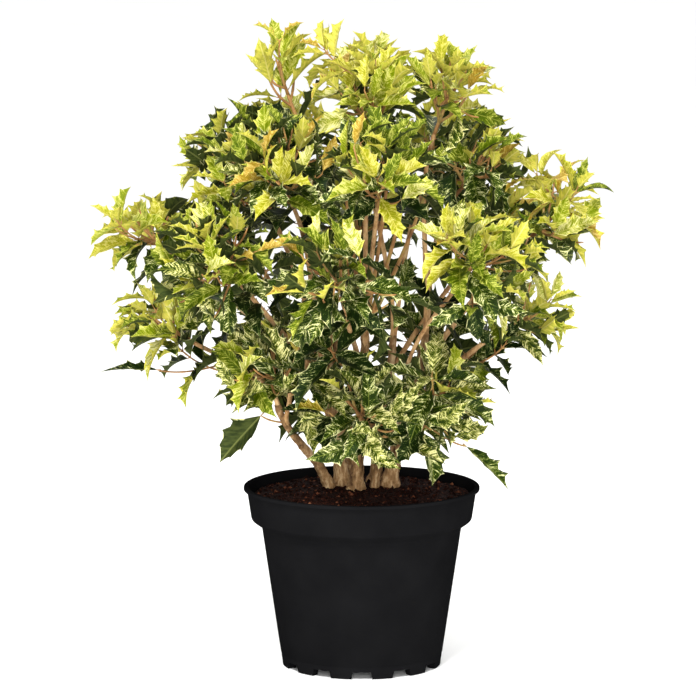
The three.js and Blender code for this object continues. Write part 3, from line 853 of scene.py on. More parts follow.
def lone_leaf(mass, room, random):
    """The mass's single leaf, from its named root to its named tip."""
    _, base, tip, face, width, tint = LONE_LEAVES[mass["name"]]
    base = np.array(base, float)
    span = np.array(tip, float) - base
    length = np.linalg.norm(span)
    along = span / length
    face = np.array(face, float)
    face = unit(face - along * face.dot(along))
    shape = {**leaf_shape(random, 0), "curl": LONE_CURL, "width": LEAF_HALF_WIDTH * width}
    points, across, normal = blade_points(shape, base, along, face, length)
    coarse = stand_in(points)
    room.take(leaf_tree(coarse), coarse)
    return {
        "points": points,
        "across": across,
        "normal": normal,
        "root": base - along * PETIOLE,
        "base": base,
        "age": LONE_AGE,
        "tint": tint,
        "draw": random(),
    }


# Pieces.
def metres(points):
    return (np.asarray(points, float) + (MIDDLE_X, 0, 0)) * MM


def show(name, data):
    piece = bpy.data.objects.new(name, data)
    bpy.context.scene.collection.objects.link(piece)
    return piece


def make_piece(name, points, faces, materials, kinds=None):
    """A piece with smooth faces that rides on the plant's one body."""
    mesh = bpy.data.meshes.new(name)
    mesh.from_pydata(metres(points).tolist(), [], [tuple(face) for face in faces])
    for material in materials:
        mesh.materials.append(material)
    mesh.polygons.foreach_set("use_smooth", np.ones(len(faces), bool))
    if kinds is not None:
        mesh.polygons.foreach_set("material_index", np.asarray(kinds, np.int32))
    mesh.update()
    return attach(show(name, mesh), "root")


class Shape:
    """Points and faces gathered part by part."""

    def __init__(self):
        self.points = []
        self.faces = []
        self.kinds = []

    def add(self, points, faces, kind=0):
        start = len(self.points)
        self.points.extend(points)
        self.faces.extend(tuple(start + i for i in face) for face in faces)
        self.kinds.extend([kind] * len(faces))


def tube(line, radii, sides, bark=None):
    """A closed tube along a line of points, with a radius at each, and bark in relief if asked."""
    line = np.asarray(line)
    ways = np.gradient(line, axis=0)
    side = perpendicular(unit(ways[0]))
    points = []
    for i, (middle, way) in enumerate(zip(line, ways)):
        way = unit(way)
        side = unit(side - way * side.dot(way))
        other = np.cross(way, side)
        for j in range(sides):
            turn = 2 * math.pi * j / sides
            out = side * math.cos(turn) + other * math.sin(turn)
            radius = radii[i] * (bark_relief(*bark, i, middle, out) if bark else 1.0)
            points.append(middle + out * radius)
    grid = np.arange(len(points)).reshape(-1, sides)
    faces = grid_quads(np.hstack((grid, grid[:, :1]))).tolist()
    return points, [*faces, grid[0, ::-1].tolist(), grid[-1].tolist()]


def revolved(profile, sides):
    """A closed solid turned from a profile of radius and height that starts and ends on the axis."""
    points = [(0.0, 0.0, profile[0][1])]
    inner = profile[1:-1]
    for radius, height in inner:
        for j in range(sides):
            turn = 2 * math.pi * j / sides
            points.append((radius * math.cos(turn), radius * math.sin(turn), height))
    points.append((0.0, 0.0, profile[-1][1]))
    last = len(points) - 1
    faces = []
    for j in range(sides):
        k = (j + 1) % sides
        faces.append((0, 1 + k, 1 + j))
        for i in range(len(inner) - 1):
            a = 1 + i * sides
            faces.append((a + j, a + k, a + sides + k, a + sides + j))
        end = 1 + (len(inner) - 1) * sides
        faces.append((end + j, end + k, last))
    return points, faces


def rounded(corners):
    """A profile whose corners are rounded, each by its own radius."""
    profile = []
    for i, (r, z, radius) in enumerate(corners):
        here = np.array((r, z), float)
        if not radius:
            profile.append(here)
            continue
        before = np.array(corners[i - 1][:2], float)
        after = np.array(corners[i + 1][:2], float)
        start = here + unit(before - here) * radius
        end = here + unit(after - here) * radius
        for t in (k / ROUNDING_STEPS for k in range(ROUNDING_STEPS + 1)):
            profile.append((1 - t) ** 2 * start + 2 * (1 - t) * t * here + t**2 * end)
    return profile


# Materials.
def linear(colour):
    """A colour in 0 to 255 steps as the shader's linear one."""
    shares = [c / 255 for c in colour]
    return tuple(c / 12.92 if c <= 0.04045 else ((c + 0.055) / 1.055) ** 2.4 for c in shares)


class Nodes:
    """A material's node tree, written one node at a time."""

    def __init__(self, name):
        self.material = bpy.data.materials.new(name)
        self.material.use_nodes = True
        self.tree = self.material.node_tree
        self.shader = next(n for n in self.tree.nodes if n.type == "BSDF_PRINCIPLED")

    def put(self, socket, value):
        """Links another node's output to a socket, or sets the socket's value."""
        if isinstance(value, bpy.types.NodeSocket):
            self.tree.links.new(value, socket)
        else:
            socket.default_value = value

    def add(self, kind, values=None, **settings):
        node = self.tree.nodes.new(kind)
        for setting, value in settings.items():
            setattr(node, setting, value)
        for socket, value in (values or {}).items():
            self.put(node.inputs[socket], value)
        return node

    def math(self, operation, a, b=0.0):
        return self.add("ShaderNodeMath", {0: a, 1: b}, operation=operation).outputs[0]

    def times(self, a, b):
        return self.math("MULTIPLY", a, b)

    def plus(self, a, b):
        return self.math("ADD", a, b)

    def minus(self, a, b):
        return self.math("SUBTRACT", a, b)

    def place(self):
        return self.add("ShaderNodeTexCoord").outputs["Object"]

    def stretched(self, at, upright):
        return self.add("ShaderNodeMapping", {"Vector": at, "Scale": (1.0, 1.0, upright)}).outputs[0]

    def noise(self, vector, scale, detail=2.0, roughness=0.5):
        values = {"Vector": vector, "Scale": scale, "Detail": detail, "Roughness": roughness}
        return self.add("ShaderNodeTexNoise", values).outputs["Fac"]

    def ramp(self, factor, stops):
        node = self.add("ShaderNodeValToRGB", {"Fac": factor})
        elements = node.color_ramp.elements
        while len(elements) < len(stops):
            elements.new(0.5)
        for element, (position, colour) in zip(elements, stops):
            element.position = position
            element.color = (*linear(colour), 1.0)
        return node.outputs["Color"]

    def mix(self, factor, coloured, colour):
        """A node's colour with a plain one mixed in."""
        node = self.add("ShaderNodeMix", data_type="RGBA")
        for name, value in (("Factor", factor), ("A", coloured), ("B", (*linear(colour), 1.0))):
            self.put(next(i for i in node.inputs if i.name == name and i.enabled), value)
        return next(o for o in node.outputs if o.enabled)

    def bump(self, height, strength, distance):
        values = {"Height": height, "Strength": strength, "Distance": distance}
        self.put(self.shader.inputs["Normal"], self.add("ShaderNodeBump", values).outputs[0])

    def finish(self, colour, roughness, specular):
        self.put(self.shader.inputs["Base Color"], colour)
        self.put(self.shader.inputs["Roughness"], roughness)
        self.put(self.shader.inputs["Specular IOR Level"], specular)
        return self.material


# The leaves' patterns, in a map of their own. Each noise has its closeness across a leaf and along its
# side veins, its detail and its roughness, and each share says how much it counts.
LEAF_UV = "leaf"
SEED_ATTRIBUTE = "leaf_seed"
EDGE_ATTRIBUTE = "leaf_edge"
VEIN_SLANT = 0.95
SEED_SPREAD = 40.0
VEIN_RIBS = 9.0
STREAKS = (12.0, 34.0, 3.0, 0.62)
STREAK_SHARE = 0.95
STREAK_RELIEF = 0.6
PATCHES = (6.0, 7.0, 1.0, 0.4)
PATCH_SHARE = 0.5
FLECKS = (80.0, 80.0, 1.0, 0.5)
FLECK_SHARE = 0.45
CLOUDS = (8.0, 14.0, 2.0, 0.5)
LIGHT_LEVEL = 0.475
TINT_STOPS = (0.36, 0.5, 0.56, 0.66)
UNDER_STOPS = (0.38, 0.6)
MIDRIB_HALF = 0.008
MIDRIB_SHARE = 0.45
UNDER_MIDRIB_HALF = 0.014
UNDER_MIDRIB_SHARE = 0.8
RIM_PATCHES = 0.3
RIM_FROM = 1.06
RIM_TO = 1.14
RIM_SHARE = 0.85


def vein_places(nodes):
    """A leaf's places for its patterns: across it, out from its midrib, along its side veins, and a shift
    of its own."""
    uv = nodes.add("ShaderNodeUVMap", uv_map=LEAF_UV).outputs[0]
    seed = nodes.add("ShaderNodeAttribute", attribute_name=SEED_ATTRIBUTE).outputs["Fac"]
    parts = nodes.add("ShaderNodeSeparateXYZ", {0: uv}).outputs
    side = nodes.math("ABSOLUTE", nodes.minus(parts["X"], 0.5))
    slant = nodes.minus(parts["Y"], nodes.times(side, VEIN_SLANT))
    return parts["X"], side, slant, nodes.times(seed, SEED_SPREAD)


def vein_noise(nodes, places, across_scale, slant_scale, detail, roughness):
    across, _, slant, shift = places
    at = {"X": nodes.times(across, across_scale), "Y": nodes.times(slant, slant_scale), "Z": shift}
    return nodes.noise(nodes.add("ShaderNodeCombineXYZ", at).outputs[0], 1.0, detail, roughness)


def vein_ribs(nodes, slant):
    return nodes.math("PINGPONG", nodes.times(slant, VEIN_RIBS), 0.5)


def leaf_material(name, stops, midrib, light_shift, edge_gain, roughness):
    """A leaf's upper face: marbling that runs out along the side veins, lighter or greener to its margin."""
    nodes = Nodes(name)
    places = vein_places(nodes)
    _, side, slant, _ = places
    streaks = vein_noise(nodes, places, *STREAKS)
    patches = vein_noise(nodes, places, *PATCHES)
    flecks = vein_noise(nodes, places, *FLECKS)
    light = nodes.plus(nodes.times(streaks, STREAK_SHARE), nodes.times(patches, PATCH_SHARE))
    light = nodes.plus(light, nodes.times(flecks, FLECK_SHARE))
    light = nodes.plus(light, nodes.times(side, edge_gain))
    light = nodes.minus(light, LIGHT_LEVEL - light_shift)
    coloured = nodes.ramp(light, list(zip(TINT_STOPS, stops)))
    vein = nodes.math("LESS_THAN", side, MIDRIB_HALF)
    coloured = nodes.mix(nodes.times(vein, MIDRIB_SHARE), coloured, midrib)
    edge = nodes.add("ShaderNodeAttribute", attribute_name=EDGE_ATTRIBUTE).outputs["Fac"]
    rim_at = nodes.plus(edge, nodes.times(patches, RIM_PATCHES))
    rim = nodes.add("ShaderNodeMapRange", {"Value": rim_at, "From Min": RIM_FROM, "From Max": RIM_TO})
    coloured = nodes.mix(nodes.times(rim.outputs[0], RIM_SHARE), coloured, stops[-1])
    nodes.bump(nodes.plus(vein_ribs(nodes, slant), nodes.times(streaks, STREAK_RELIEF)), 0.35, 0.0006)
    return nodes.finish(coloured, roughness, 0.05)


def under_material(name, pale, green, midrib):
    """A leaf's under face: paler and matt, with a raised pale midrib."""
    nodes = Nodes(name)
    places = vein_places(nodes)
    _, side, slant, _ = places
    colour = nodes.ramp(vein_noise(nodes, places, *CLOUDS), list(zip(UNDER_STOPS, (green, pale))))
    vein = nodes.math("LESS_THAN", side, UNDER_MIDRIB_HALF)
    coloured = nodes.mix(nodes.times(vein, UNDER_MIDRIB_SHARE), colour, midrib)
    nodes.bump(nodes.plus(vein_ribs(nodes, slant), vein), 0.3, 0.0005)
    return nodes.finish(coloured, 0.66, 0.06)


# Barks, from the stems' to the boughs': three colours, the closeness of the grain, the roughness, and the
# depth of the relief.
OLD_BARK = ((64, 42, 24), (146, 112, 74), (214, 186, 142), 220.0, 0.85, 0.003)
YOUNG_BARK = ((124, 86, 52), (178, 138, 92), (208, 174, 126), 320.0, 0.7, 0.0006)


def bark_material(name, dark, mid, light, grain, roughness, depth):
    """Bark: stretched grain along the limb, with paler warts, and fissures in its relief."""
    nodes = Nodes(name)
    at = nodes.place()
    fibres = nodes.noise(nodes.stretched(at, 0.35), grain, 5.0, 0.65)
    patches = nodes.noise(at, grain * 0.16, 3.0, 0.5)
    both = nodes.plus(nodes.times(fibres, 0.6), nodes.times(patches, 0.4))
    colour = nodes.ramp(both, [(0.36, dark), (0.5, mid), (0.64, light)])
    nodes.bump(fibres, 0.7, depth)
    return nodes.finish(colour, roughness, 0.15)


def twig_material():
    """Young twigs: tan to reddish with greenish patches, and finely grained."""
    nodes = Nodes("twig_bark")
    at = nodes.place()
    patches = nodes.noise(at, 60.0, 3.0, 0.55)
    colour = nodes.ramp(patches, [(0.34, (118, 80, 44)), (0.52, (164, 122, 72)), (0.68, (158, 140, 76))])
    nodes.bump(nodes.noise(at, 700.0, 2.0, 0.5), 0.35, 0.0003)
    return nodes.finish(colour, 0.55, 0.2)


def pot_material():
    """Injection-moulded black polypropylene: matt, with faint flow marks and dust in its pores."""
    nodes = Nodes("pot_plastic")
    at = nodes.place()
    flow = nodes.noise(nodes.stretched(at, 0.08), 60.0, 3.0, 0.6)
    grain = nodes.noise(at, 1400.0, 2.0, 0.6)
    cloud = nodes.noise(at, 22.0, 3.0, 0.55)
    colour = nodes.ramp(cloud, [(0.3, (16, 16, 17)), (0.7, (20, 20, 21))])
    nodes.bump(nodes.plus(grain, nodes.times(flow, 0.8)), 0.12, 0.0004)
    return nodes.finish(colour, nodes.plus(nodes.times(flow, 0.12), 0.46), 0.0)


def mix_material(name, stops):
    """Peaty potting mix: rough crumbs in three colours."""
    nodes = Nodes(name)
    crumbs = nodes.noise(nodes.place(), 420.0, 4.0, 0.7)
    colour = nodes.ramp(crumbs, stops)
    nodes.bump(crumbs, 0.9, 0.002)
    return nodes.finish(colour, 0.95, 0.06)


# The tints of the leaves' upper faces. Each has four colours from its green to its lightest, its midrib,
# how much of it is light, how much lighter it is to the margin, and its roughness.
TINTS = {
    "bronze": (
        [(126, 104, 22), (148, 122, 40), (168, 142, 62), (192, 170, 96)], (180, 140, 74), 0.0, 0.3, 0.5,
    ),
    "gold": (
        [(118, 121, 10), (142, 140, 26), (163, 157, 52), (191, 185, 104)], (206, 192, 92), 0.02, 0.4, 0.5,
    ),
    "lime": (
        [(88, 102, 3), (114, 124, 16), (141, 144, 44), (183, 182, 100)], (180, 178, 78), 0.0, 0.4, 0.48,
    ),
    "cream": (
        [(100, 112, 14), (138, 142, 46), (173, 171, 88), (210, 205, 142)], (206, 196, 110), 0.03, 0.4, 0.5,
    ),
    "olive": ([(54, 70, 2), (78, 92, 9), (110, 119, 29), (172, 174, 80)], (146, 150, 60), -0.01, 0.3, 0.46),
    "pied": (
        [(27, 41, 3), (61, 75, 12), (142, 144, 62), (228, 222, 154)], (124, 130, 50), 0.014, 0.25, 0.45,
    ),
    "marbled": (
        [(24, 38, 3), (46, 64, 11), (124, 133, 56), (228, 225, 166)], (114, 124, 50), -0.018, 0.0, 0.45,
    ),
    "deep": ([(16, 29, 5), (29, 45, 10), (82, 96, 40), (212, 210, 146)], (66, 80, 36), -0.05, -0.2, 0.45),
    # The shade tint is painted shade: its darker colours stand in for the shadow deep inside the crown.
    "shade": ([(5, 11, 1), (11, 20, 2), (34, 44, 11), (116, 120, 58)], (44, 56, 22), -0.06, -0.2, 0.5),
    "amber": (
        [(90, 84, 8), (130, 114, 24), (168, 144, 50), (204, 184, 96)], (176, 156, 70), 0.02, 0.3, 0.48,
    ),
}
UNDERS = {
    # The pale under face: a paler underside, made lighter still by painted light that stands in for light
    # shining through the leaf.
    "under_pale_painted_light": ((210, 200, 88), (172, 172, 60), (216, 208, 120)),
    # The green under face: a green underside, darkened by painted shade because undersides mostly lie in
    # shadow.
    "under_green_painted_shade": ((66, 75, 34), (42, 52, 22), (104, 110, 58)),
}
TINT_NAMES = list(TINTS)
PALE_UNDER = ("bronze", "gold", "lime", "cream", "amber")

# How much more painted light, or painted shade, the leaves of single masses get in their tints than their
# places give them.
LIGHTER = {
    "top_left": 0.08, "top_front": 0.08, "top_right": 0.08, "top_back": 0.1,
    "upper_front": -0.16, "upper_front_left": -0.18, "upper_left": -0.12, "upper_right": -0.12,
    "middle_left": 0.1, "middle_right": 0.06, "middle_front_right": 0.04, "middle_front": -0.14,
    "middle_front_left": -0.02, "lower_left": 0.12, "lower_right": 0.1, "lower_front_left": 0.14,
    "lower_front": 0.12, "lower_front_right": 0.16,
}

# How tints are dealt by a leaf's score for painted light and for youth: over each least score, up to which
# share of its shoot's tone or of its own draw it takes which tint.
DEALS = (
    (0.74, "tone", ((0.4, "gold"), (0.8, "lime"), (1, "cream"))),
    (0.6, "draw", ((0.45, "lime"), (0.8, "olive"), (1, "cream"))),
    (0.46, "draw", ((0.55, "olive"), (0.75, "pied"), (1, "marbled"))),
    (0.32, "draw", ((1, "marbled"),)),
    (-math.inf, "draw", ((0.7, "deep"), (1, "marbled"))),
)
# Old leaves on the boughs inside the crown are dealt painted shade: mostly the shade tint, and otherwise
# deep.
PAINTED_SHADE_DEAL = ((0.7, "shade"), (1, "deep"))

# The lower tier's inner leaves, nearer to the middle than the width, are dealt in another way.
INNER_WIDTH = 120
INNER_BRIGHT = 0.8
INNER_CHANCE = 0.92
INNER_YOUNG = ((0.5, "amber"), (1, "lime"))
INNER_PIED = 0.66
INNER_OLD = ((0.75, "marbled"), (1, "deep"))

# The heights over which shoots get lighter by painted light, from the lowest, and the reach at which they are
# lit in full.
LIT_HEIGHTS = (240, 330)
LIT_REACH = 210


def light_score(leaf, mass):
    """How much light a leaf's shoot gets by its height and reach, and the leaf's score with its youth. The
    light in the score is painted light in the leaf's tint.
    """
    tip = leaf["shoot"]["curve"].at(1)
    lowest, span = LIT_HEIGHTS
    height = np.clip((tip[2] - lowest) / span, 0, 1)
    reach = np.clip(np.hypot(tip[0], tip[1]) / LIT_REACH, 0, 1)
    lit = 0.62 * height + 0.38 * reach
    open_to_light = np.clip((tip - mass["centre"]).dot(mass["axis"]) / mass["size"], -0.6, 0.6)
    young = 1 - min(leaf["age"], 4) / 4
    chance = 0.16 * (leaf["draw"] - 0.5)
    score = 0.42 * lit + 0.45 * young + 0.3 * open_to_light + chance + 0.12 * (leaf["tone"] - 0.5)
    score += LIGHTER.get(mass["name"], 0.0) - (0.16 if leaf["shoot"]["kind"] == "finer" else 0.04)
    return lit, score


def dealt(deal, share):
    """The tint in whose part of a deal a share from 0 to 1 falls."""
    return next(tint for limit, tint in deal if share < limit)


def tint_of(leaf, mass):
    """The tint of a leaf, dealt by its shoot and its age: young leaves are lightest, and well-lit ones are
    made lighter by painted light.
    """
    if "tint" in leaf:
        return leaf["tint"]
    draw, tone, age, shoot = leaf["draw"], leaf["tone"], leaf["age"], leaf["shoot"]
    # Old leaves on the boughs take painted shade.
    if shoot["kind"] == "bough" and age > 3:
        return dealt(PAINTED_SHADE_DEAL, draw)
    if shoot["kind"] == "tuft":
        if mass["tier"] == "top" and age == 0:
            return "bronze"
        return shoot["tints"][int(draw * len(shoot["tints"]))]
    lit, score = light_score(leaf, mass)
    if age == 0 and lit > 0.55 and tone > 0.84:
        return "bronze"
    if mass["tier"] == "lower" and abs(shoot["curve"].at(1)[0]) < INNER_WIDTH:
        if score > INNER_BRIGHT or draw > INNER_CHANCE:
            return dealt(INNER_YOUNG, tone)
        return "pied" if score + 0.3 * draw > INNER_PIED else dealt(INNER_OLD, draw)
    _, by, deal = next(row for row in DEALS if score > row[0])
    return dealt(deal, leaf[by])


# The pot and its mix.
def pot_corners():
    """The pot's profile, up its outside and down its inside: radius, height and rounding of each corner."""
    top = POT_HEIGHT
    band = top - BAND_HEIGHT
    shoulder = band - SHOULDER_HEIGHT
    band_radius = RIM_RADIUS - BAND_INSET
    body_radius = RIM_RADIUS - SHOULDER_INSET
    lean = (body_radius - WALL_FOOT[0]) / (shoulder - WALL_FOOT[1])
    crease_radius = WALL_FOOT[0] + (CREASE_HEIGHT - WALL_FOOT[1]) * lean
    return [
        (0, FOOT_HEIGHT, 0),
        (FOOT_RADIUS - FOOT_DEPTH, FOOT_HEIGHT, 0.8),
        (FOOT_RADIUS - FOOT_DEPTH + 0.3, 0, 0.8),
        (FOOT_RADIUS, 0, 0.8),
        (crease_radius - 0.4, CREASE_HEIGHT - 0.5, 0),
        (crease_radius, CREASE_HEIGHT, 0),
        (body_radius, shoulder, 2.2),
        (band_radius - 0.5, band, 2.0),
        (RIM_RADIUS - LIP_OUT, top - LIP_HEIGHT, 1.0),
        (RIM_RADIUS, top - LIP_HEIGHT, 0.9),
        (RIM_RADIUS, top, 1.2),
        (RIM_RADIUS - LIP_OUT - WALL, top, 1.2),
        (band_radius - WALL - 1.2, band, 2.0),
        (body_radius - WALL, shoulder, 2.0),
        (FOOT_RADIUS - 1, FOOT_HEIGHT + WALL, 1.5),
        (0, FOOT_HEIGHT + WALL, 0),
    ]


def cut(piece, cutters):
    """Takes the cutters out of a piece, and removes them."""
    for cutter in cutters:
        modifier = piece.modifiers.new("cut", "BOOLEAN")
        modifier.operation = "DIFFERENCE"
        modifier.solver = "EXACT"
        modifier.object = cutter
    graph = bpy.context.evaluated_depsgraph_get()
    mesh = bpy.data.meshes.new_from_object(piece.evaluated_get(graph))
    piece.modifiers.clear()
    old = piece.data
    piece.data = mesh
    bpy.data.meshes.remove(old)
    for cutter in cutters:
        bpy.data.meshes.remove(cutter.data)


def notch(turn):
    """A notch between two feet, as a cutter across the foot ring that is wider at its foot."""
    half = math.pi * FOOT_RADIUS / (2 * FOOT_COUNT)
    inner, outer = FOOT_RADIUS - 2 * FOOT_DEPTH, FOOT_RADIUS + 2 * FOOT_DEPTH
    levels = ((-FOOT_HEIGHT, half * NOTCH_SPREAD), (FOOT_HEIGHT - 0.4, half * (2 - NOTCH_SPREAD)))
    corners = []
    for z, width in levels:
        for along, across in ((inner, -width), (outer, -width), (outer, width), (inner, width)):
            x = along * math.cos(turn) - across * math.sin(turn)
            y = along * math.sin(turn) + across * math.cos(turn)
            corners.append((x, y, z))
    faces = [(3, 2, 1, 0), (4, 5, 6, 7), (0, 1, 5, 4), (1, 2, 6, 5), (2, 3, 7, 6), (3, 0, 4, 7)]
    mesh = bpy.data.meshes.new("notch")
    mesh.from_pydata(metres(corners).tolist(), [], faces)
    return show("notch", mesh)


def make_pot():
    points, faces = revolved(rounded(pot_corners()), POT_SIDES)
    pot = make_piece("nursery_pot", points, faces, [pot_material()])
    turns = [2 * math.pi * i / FOOT_COUNT - math.pi / 2 for i in range(FOOT_COUNT)]
    cut(pot, [notch(turn) for turn in turns])
    pot.data.set_sharp_from_angle(angle=math.radians(POT_SHARP_ANGLE))
    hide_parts("pot")


def soil_height(x, y):
    """The mix's top: level in the middle, lower to the wall, and lumpy."""
    radius = math.hypot(x, y)
    fall = np.clip((radius - SOIL_LEVEL_RADIUS) / (SOIL_EDGE_RADIUS - SOIL_LEVEL_RADIUS), 0, 1)
    height = SOIL_LEVEL - (SOIL_LEVEL - SOIL_EDGE) * fall
    for closeness, seed, wave in SOIL_WAVES:
        height += noise.noise(Vector((x * closeness, y * closeness, seed))) * wave
    return height


def crumb(shape, middle, size, random):
    """A small rough crumb: an eight-faced lump with its corners moved in and out."""
    turn = 2 * math.pi * random()
    points = []
    for x, y, z in CRUMB_WAYS:
        out = size * vary(CRUMB_OUT, random)
        turned = (x * math.cos(turn) - y * math.sin(turn), x * math.sin(turn) + y * math.cos(turn), z * 0.8)
        points.append(tuple(m + out * t for m, t in zip(middle, turned)))
    shape.add(points, CRUMB_FACES, 1 if random() < PALE_CRUMBS else 0)


def make_mix():
    band = POT_HEIGHT - BAND_HEIGHT
    clear = WALL + GAP
    profile = [
        (0, FOOT_HEIGHT + WALL + GAP),
        (FOOT_RADIUS - 2.5, FOOT_HEIGHT + WALL + GAP),
        (RIM_RADIUS - SHOULDER_INSET - clear, band - SHOULDER_HEIGHT),
        (RIM_RADIUS - BAND_INSET - 1.2 - clear, band + 1),
        *((radius, SOIL_LEVEL) for radius in np.linspace(SOIL_EDGE_RADIUS, SOIL_INNER_RADIUS, SOIL_RINGS)),
        (0, SOIL_LEVEL),
    ]
    points, faces = revolved(profile, SOIL_SIDES)
    first = len(points) - 1 - SOIL_SIDES * SOIL_RINGS
    points[first:] = [(x, y, soil_height(x, y)) for x, y, _ in points[first:]]
    shape = Shape()
    shape.add(points, faces)
    random = series(CRUMBS_SEED)
    least, more = CRUMB_SIZE
    for _ in range(CRUMBS):
        radius = (SOIL_EDGE_RADIUS - 3) * math.sqrt(random())
        turn = 2 * math.pi * random()
        x, y = radius * math.cos(turn), radius * math.sin(turn)
        size = least + more * random() ** 3
        crumb(shape, (x, y, soil_height(x, y) + 0.25 * size), size, random)
    dark = mix_material("potting_mix", [(0.3, (6, 2, 1)), (0.52, (27, 10, 6)), (0.72, (78, 40, 27))])
    pale = mix_material("mix_specks", [(0.3, (58, 28, 18)), (0.55, (106, 62, 42)), (0.75, (150, 104, 76))])
    piece = make_piece("soil", shape.points, shape.faces, [dark, pale], shape.kinds)
    piece.data.set_sharp_from_angle(angle=math.radians(SOIL_SHARP_ANGLE))
    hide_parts("potting_mix")


# The limbs.
def bark_relief(amount, lump, seed, ring, middle, out):
    """How far the bark stands in or out at a point of a ring: lumps, ridges along the limb, fine warts,
    and toes at its foot."""
    lumps = noise.noise(Vector(middle * lump + out * 1.7) + Vector((seed, 0, 0)))
    ridges = noise.noise(Vector(out * 3.1) + Vector((seed, seed, ring * 0.05)))
    warts = noise.noise(Vector(middle * 0.6 + out * 4))
    toes = noise.noise(Vector(out * 1.3) + Vector((0, seed, 0))) * math.exp(-ring / TOE_RINGS)
    return 1 + amount * (0.9 * lumps + 0.5 * ridges + 0.45 * warts + 1.6 * toes)


def ring_shares(curve):
    """The shares of a limb's length at which its rings stand."""
    return np.linspace(0, 1, max(6, int(curve.length / RING_STEP)) + 1)


def add_limb(shape, curve, radii, sides, bark, kind, seed, sunk=0.0, end_in=0.0):
    """A limb's tube along its curve, with swellings where leaf pairs once stood. It is sunk at its foot
    and runs on at its end where asked."""
    shares = ring_shares(curve)
    line = [curve.at(share) for share in shares]
    phases = [(share * curve.length + seed * SWELLING_SHIFT) % SWELLING_SPACING for share in shares]
    offs = [(phase - SWELLING_SPACING / 2) / SWELLING_LENGTH for phase in phases]
    radii = [radius * (1 + SWELLING * math.exp(-off**2)) for radius, off in zip(radii, offs)]
    if sunk:
        line.insert(0, line[0] - UP * sunk)
        radii.insert(0, radii[0] * SUNK_FLARE)
    if end_in:
        line.append(line[-1] + unit(line[-1] - line[-2]) * end_in)
        radii.append(radii[-1] * BOUGH_END_SHARE)
    shape.add(*tube(line, radii, sides, bark), kind)


def bough_radii(foot, curve):
    """A bough's radii at its rings, with a collar where it leaves its stem."""
    return [
        bough_radius(foot, share) * (1 + BOUGH_COLLAR * math.exp(-share * curve.length / BOUGH_COLLAR_LENGTH))
        for share in ring_shares(curve)
    ]


def make_limbs(masses, stems):
    """One piece for each stem with its boughs."""
    materials = [bark_material("old_bark", *OLD_BARK), bark_material("young_bark", *YOUNG_BARK)]
    for number, (name, stem) in enumerate(stems.items()):
        shape = Shape()
        curve = stem["curve"]
        radii = [stem_radius(stem, share) for share in ring_shares(curve)]
        add_limb(shape, curve, radii, STEM_SIDES, (*STEM_RELIEF, 11.0 * number), 0, number, sunk=SUNK)
        for order, (carried, share) in enumerate(stem["carries"].items()):
            curve = masses[carried]["bough"]
            radii = bough_radii(stem_radius(stem, share) * BOUGH_SHARE_OF_STEM, curve)
            bark = (*BOUGH_RELIEF, 5.0 * order + number)
            add_limb(shape, curve, radii, BOUGH_SIDES, bark, 1, number + order, end_in=BOUGH_END)
        plain_name = name.removeprefix("stem_")
        piece = make_piece(f"limbs_{plain_name}", shape.points, shape.faces, materials, shape.kinds)
        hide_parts(name, *(f"bough_{carried}" for carried in stem["carries"]))


# The foliage.
def twig_radii(shoot, shares):
    """A twig's radii, with a swelling at each node and a blunt tip."""
    foot, tip = SHOOT_RADII.get(shoot["kind"], FINE_RADII)
    radii = []
    for share in shares:
        from_tip = (1 - share) * shoot["curve"].length
        near = max(math.exp(-(((from_tip - down) / SWELLING_LENGTH) ** 2)) for down, _, _ in NODES["plain"])
        radii.append((foot + (tip - foot) * share) * (1 + TWIG_SWELLING * near))
    radii[-1] *= 0.5
    return radii


def make_twigs(mass, shoots, leaves, material):
    """One piece for a mass's shoots and its leaves' stalks. Finer shoots with no leaf are left out."""
    shape = Shape()
    for shoot in shoots:
        if shoot["kind"] == "finer" and shoot["bare"]:
            continue
        curve = shoot["curve"]
        shares = np.linspace(0, 1, max(4, int(curve.length / TWIG_STEP)) + 1)
        shape.add(*tube([curve.at(share) for share in shares], twig_radii(shoot, shares), TWIG_SIDES))
    for leaf in leaves:
        middle = (leaf["root"] + leaf["base"]) / 2
        ahead = leaf["base"] + unit(leaf["base"] - leaf["root"]) * 1.5
        thick = PETIOLE_RADIUS * (0.6 if leaf["age"] == 0 else 1.0)
        shape.add(*tube([leaf["root"], middle, ahead], [thick * 1.3, thick, thick * 0.6], PETIOLE_SIDES))
    piece = make_piece(f"twigs_{mass['name']}", shape.points, shape.faces, [material])


def both_sheets(top, under):
    """Values for all of a leaf's points, from its top grid and from the under grid's inner part."""
    width = top.shape[-1] if top.ndim == 3 else 1
    return np.concatenate((top.reshape(-1, width), under[1:-1, 1:-1].reshape(-1, width)))


def leaf_corners(leaf):
    """All of a leaf's points, with the under grid a blade's thickness below the top one."""
    return both_sheets(leaf["points"], leaf["points"] - leaf["normal"][:, None] * BLADE_THICKNESS)


def leaf_places(leaf):
    """Each point's place in the leaf's own map: across it from its midrib, and along it."""
    ahead = np.repeat(FORWARD[:, None], COLUMN_COUNT, axis=1)
    top = np.stack((leaf["across"] + 0.5, ahead), -1)
    return both_sheets(top, top)


def leaf_edges():
    """How near each of a leaf's points is to its margin, from 0 at the midrib to 1."""
    top = np.repeat(np.abs(COLUMNS)[None, :], ROW_COUNT, axis=0)
    return both_sheets(top, top).ravel()


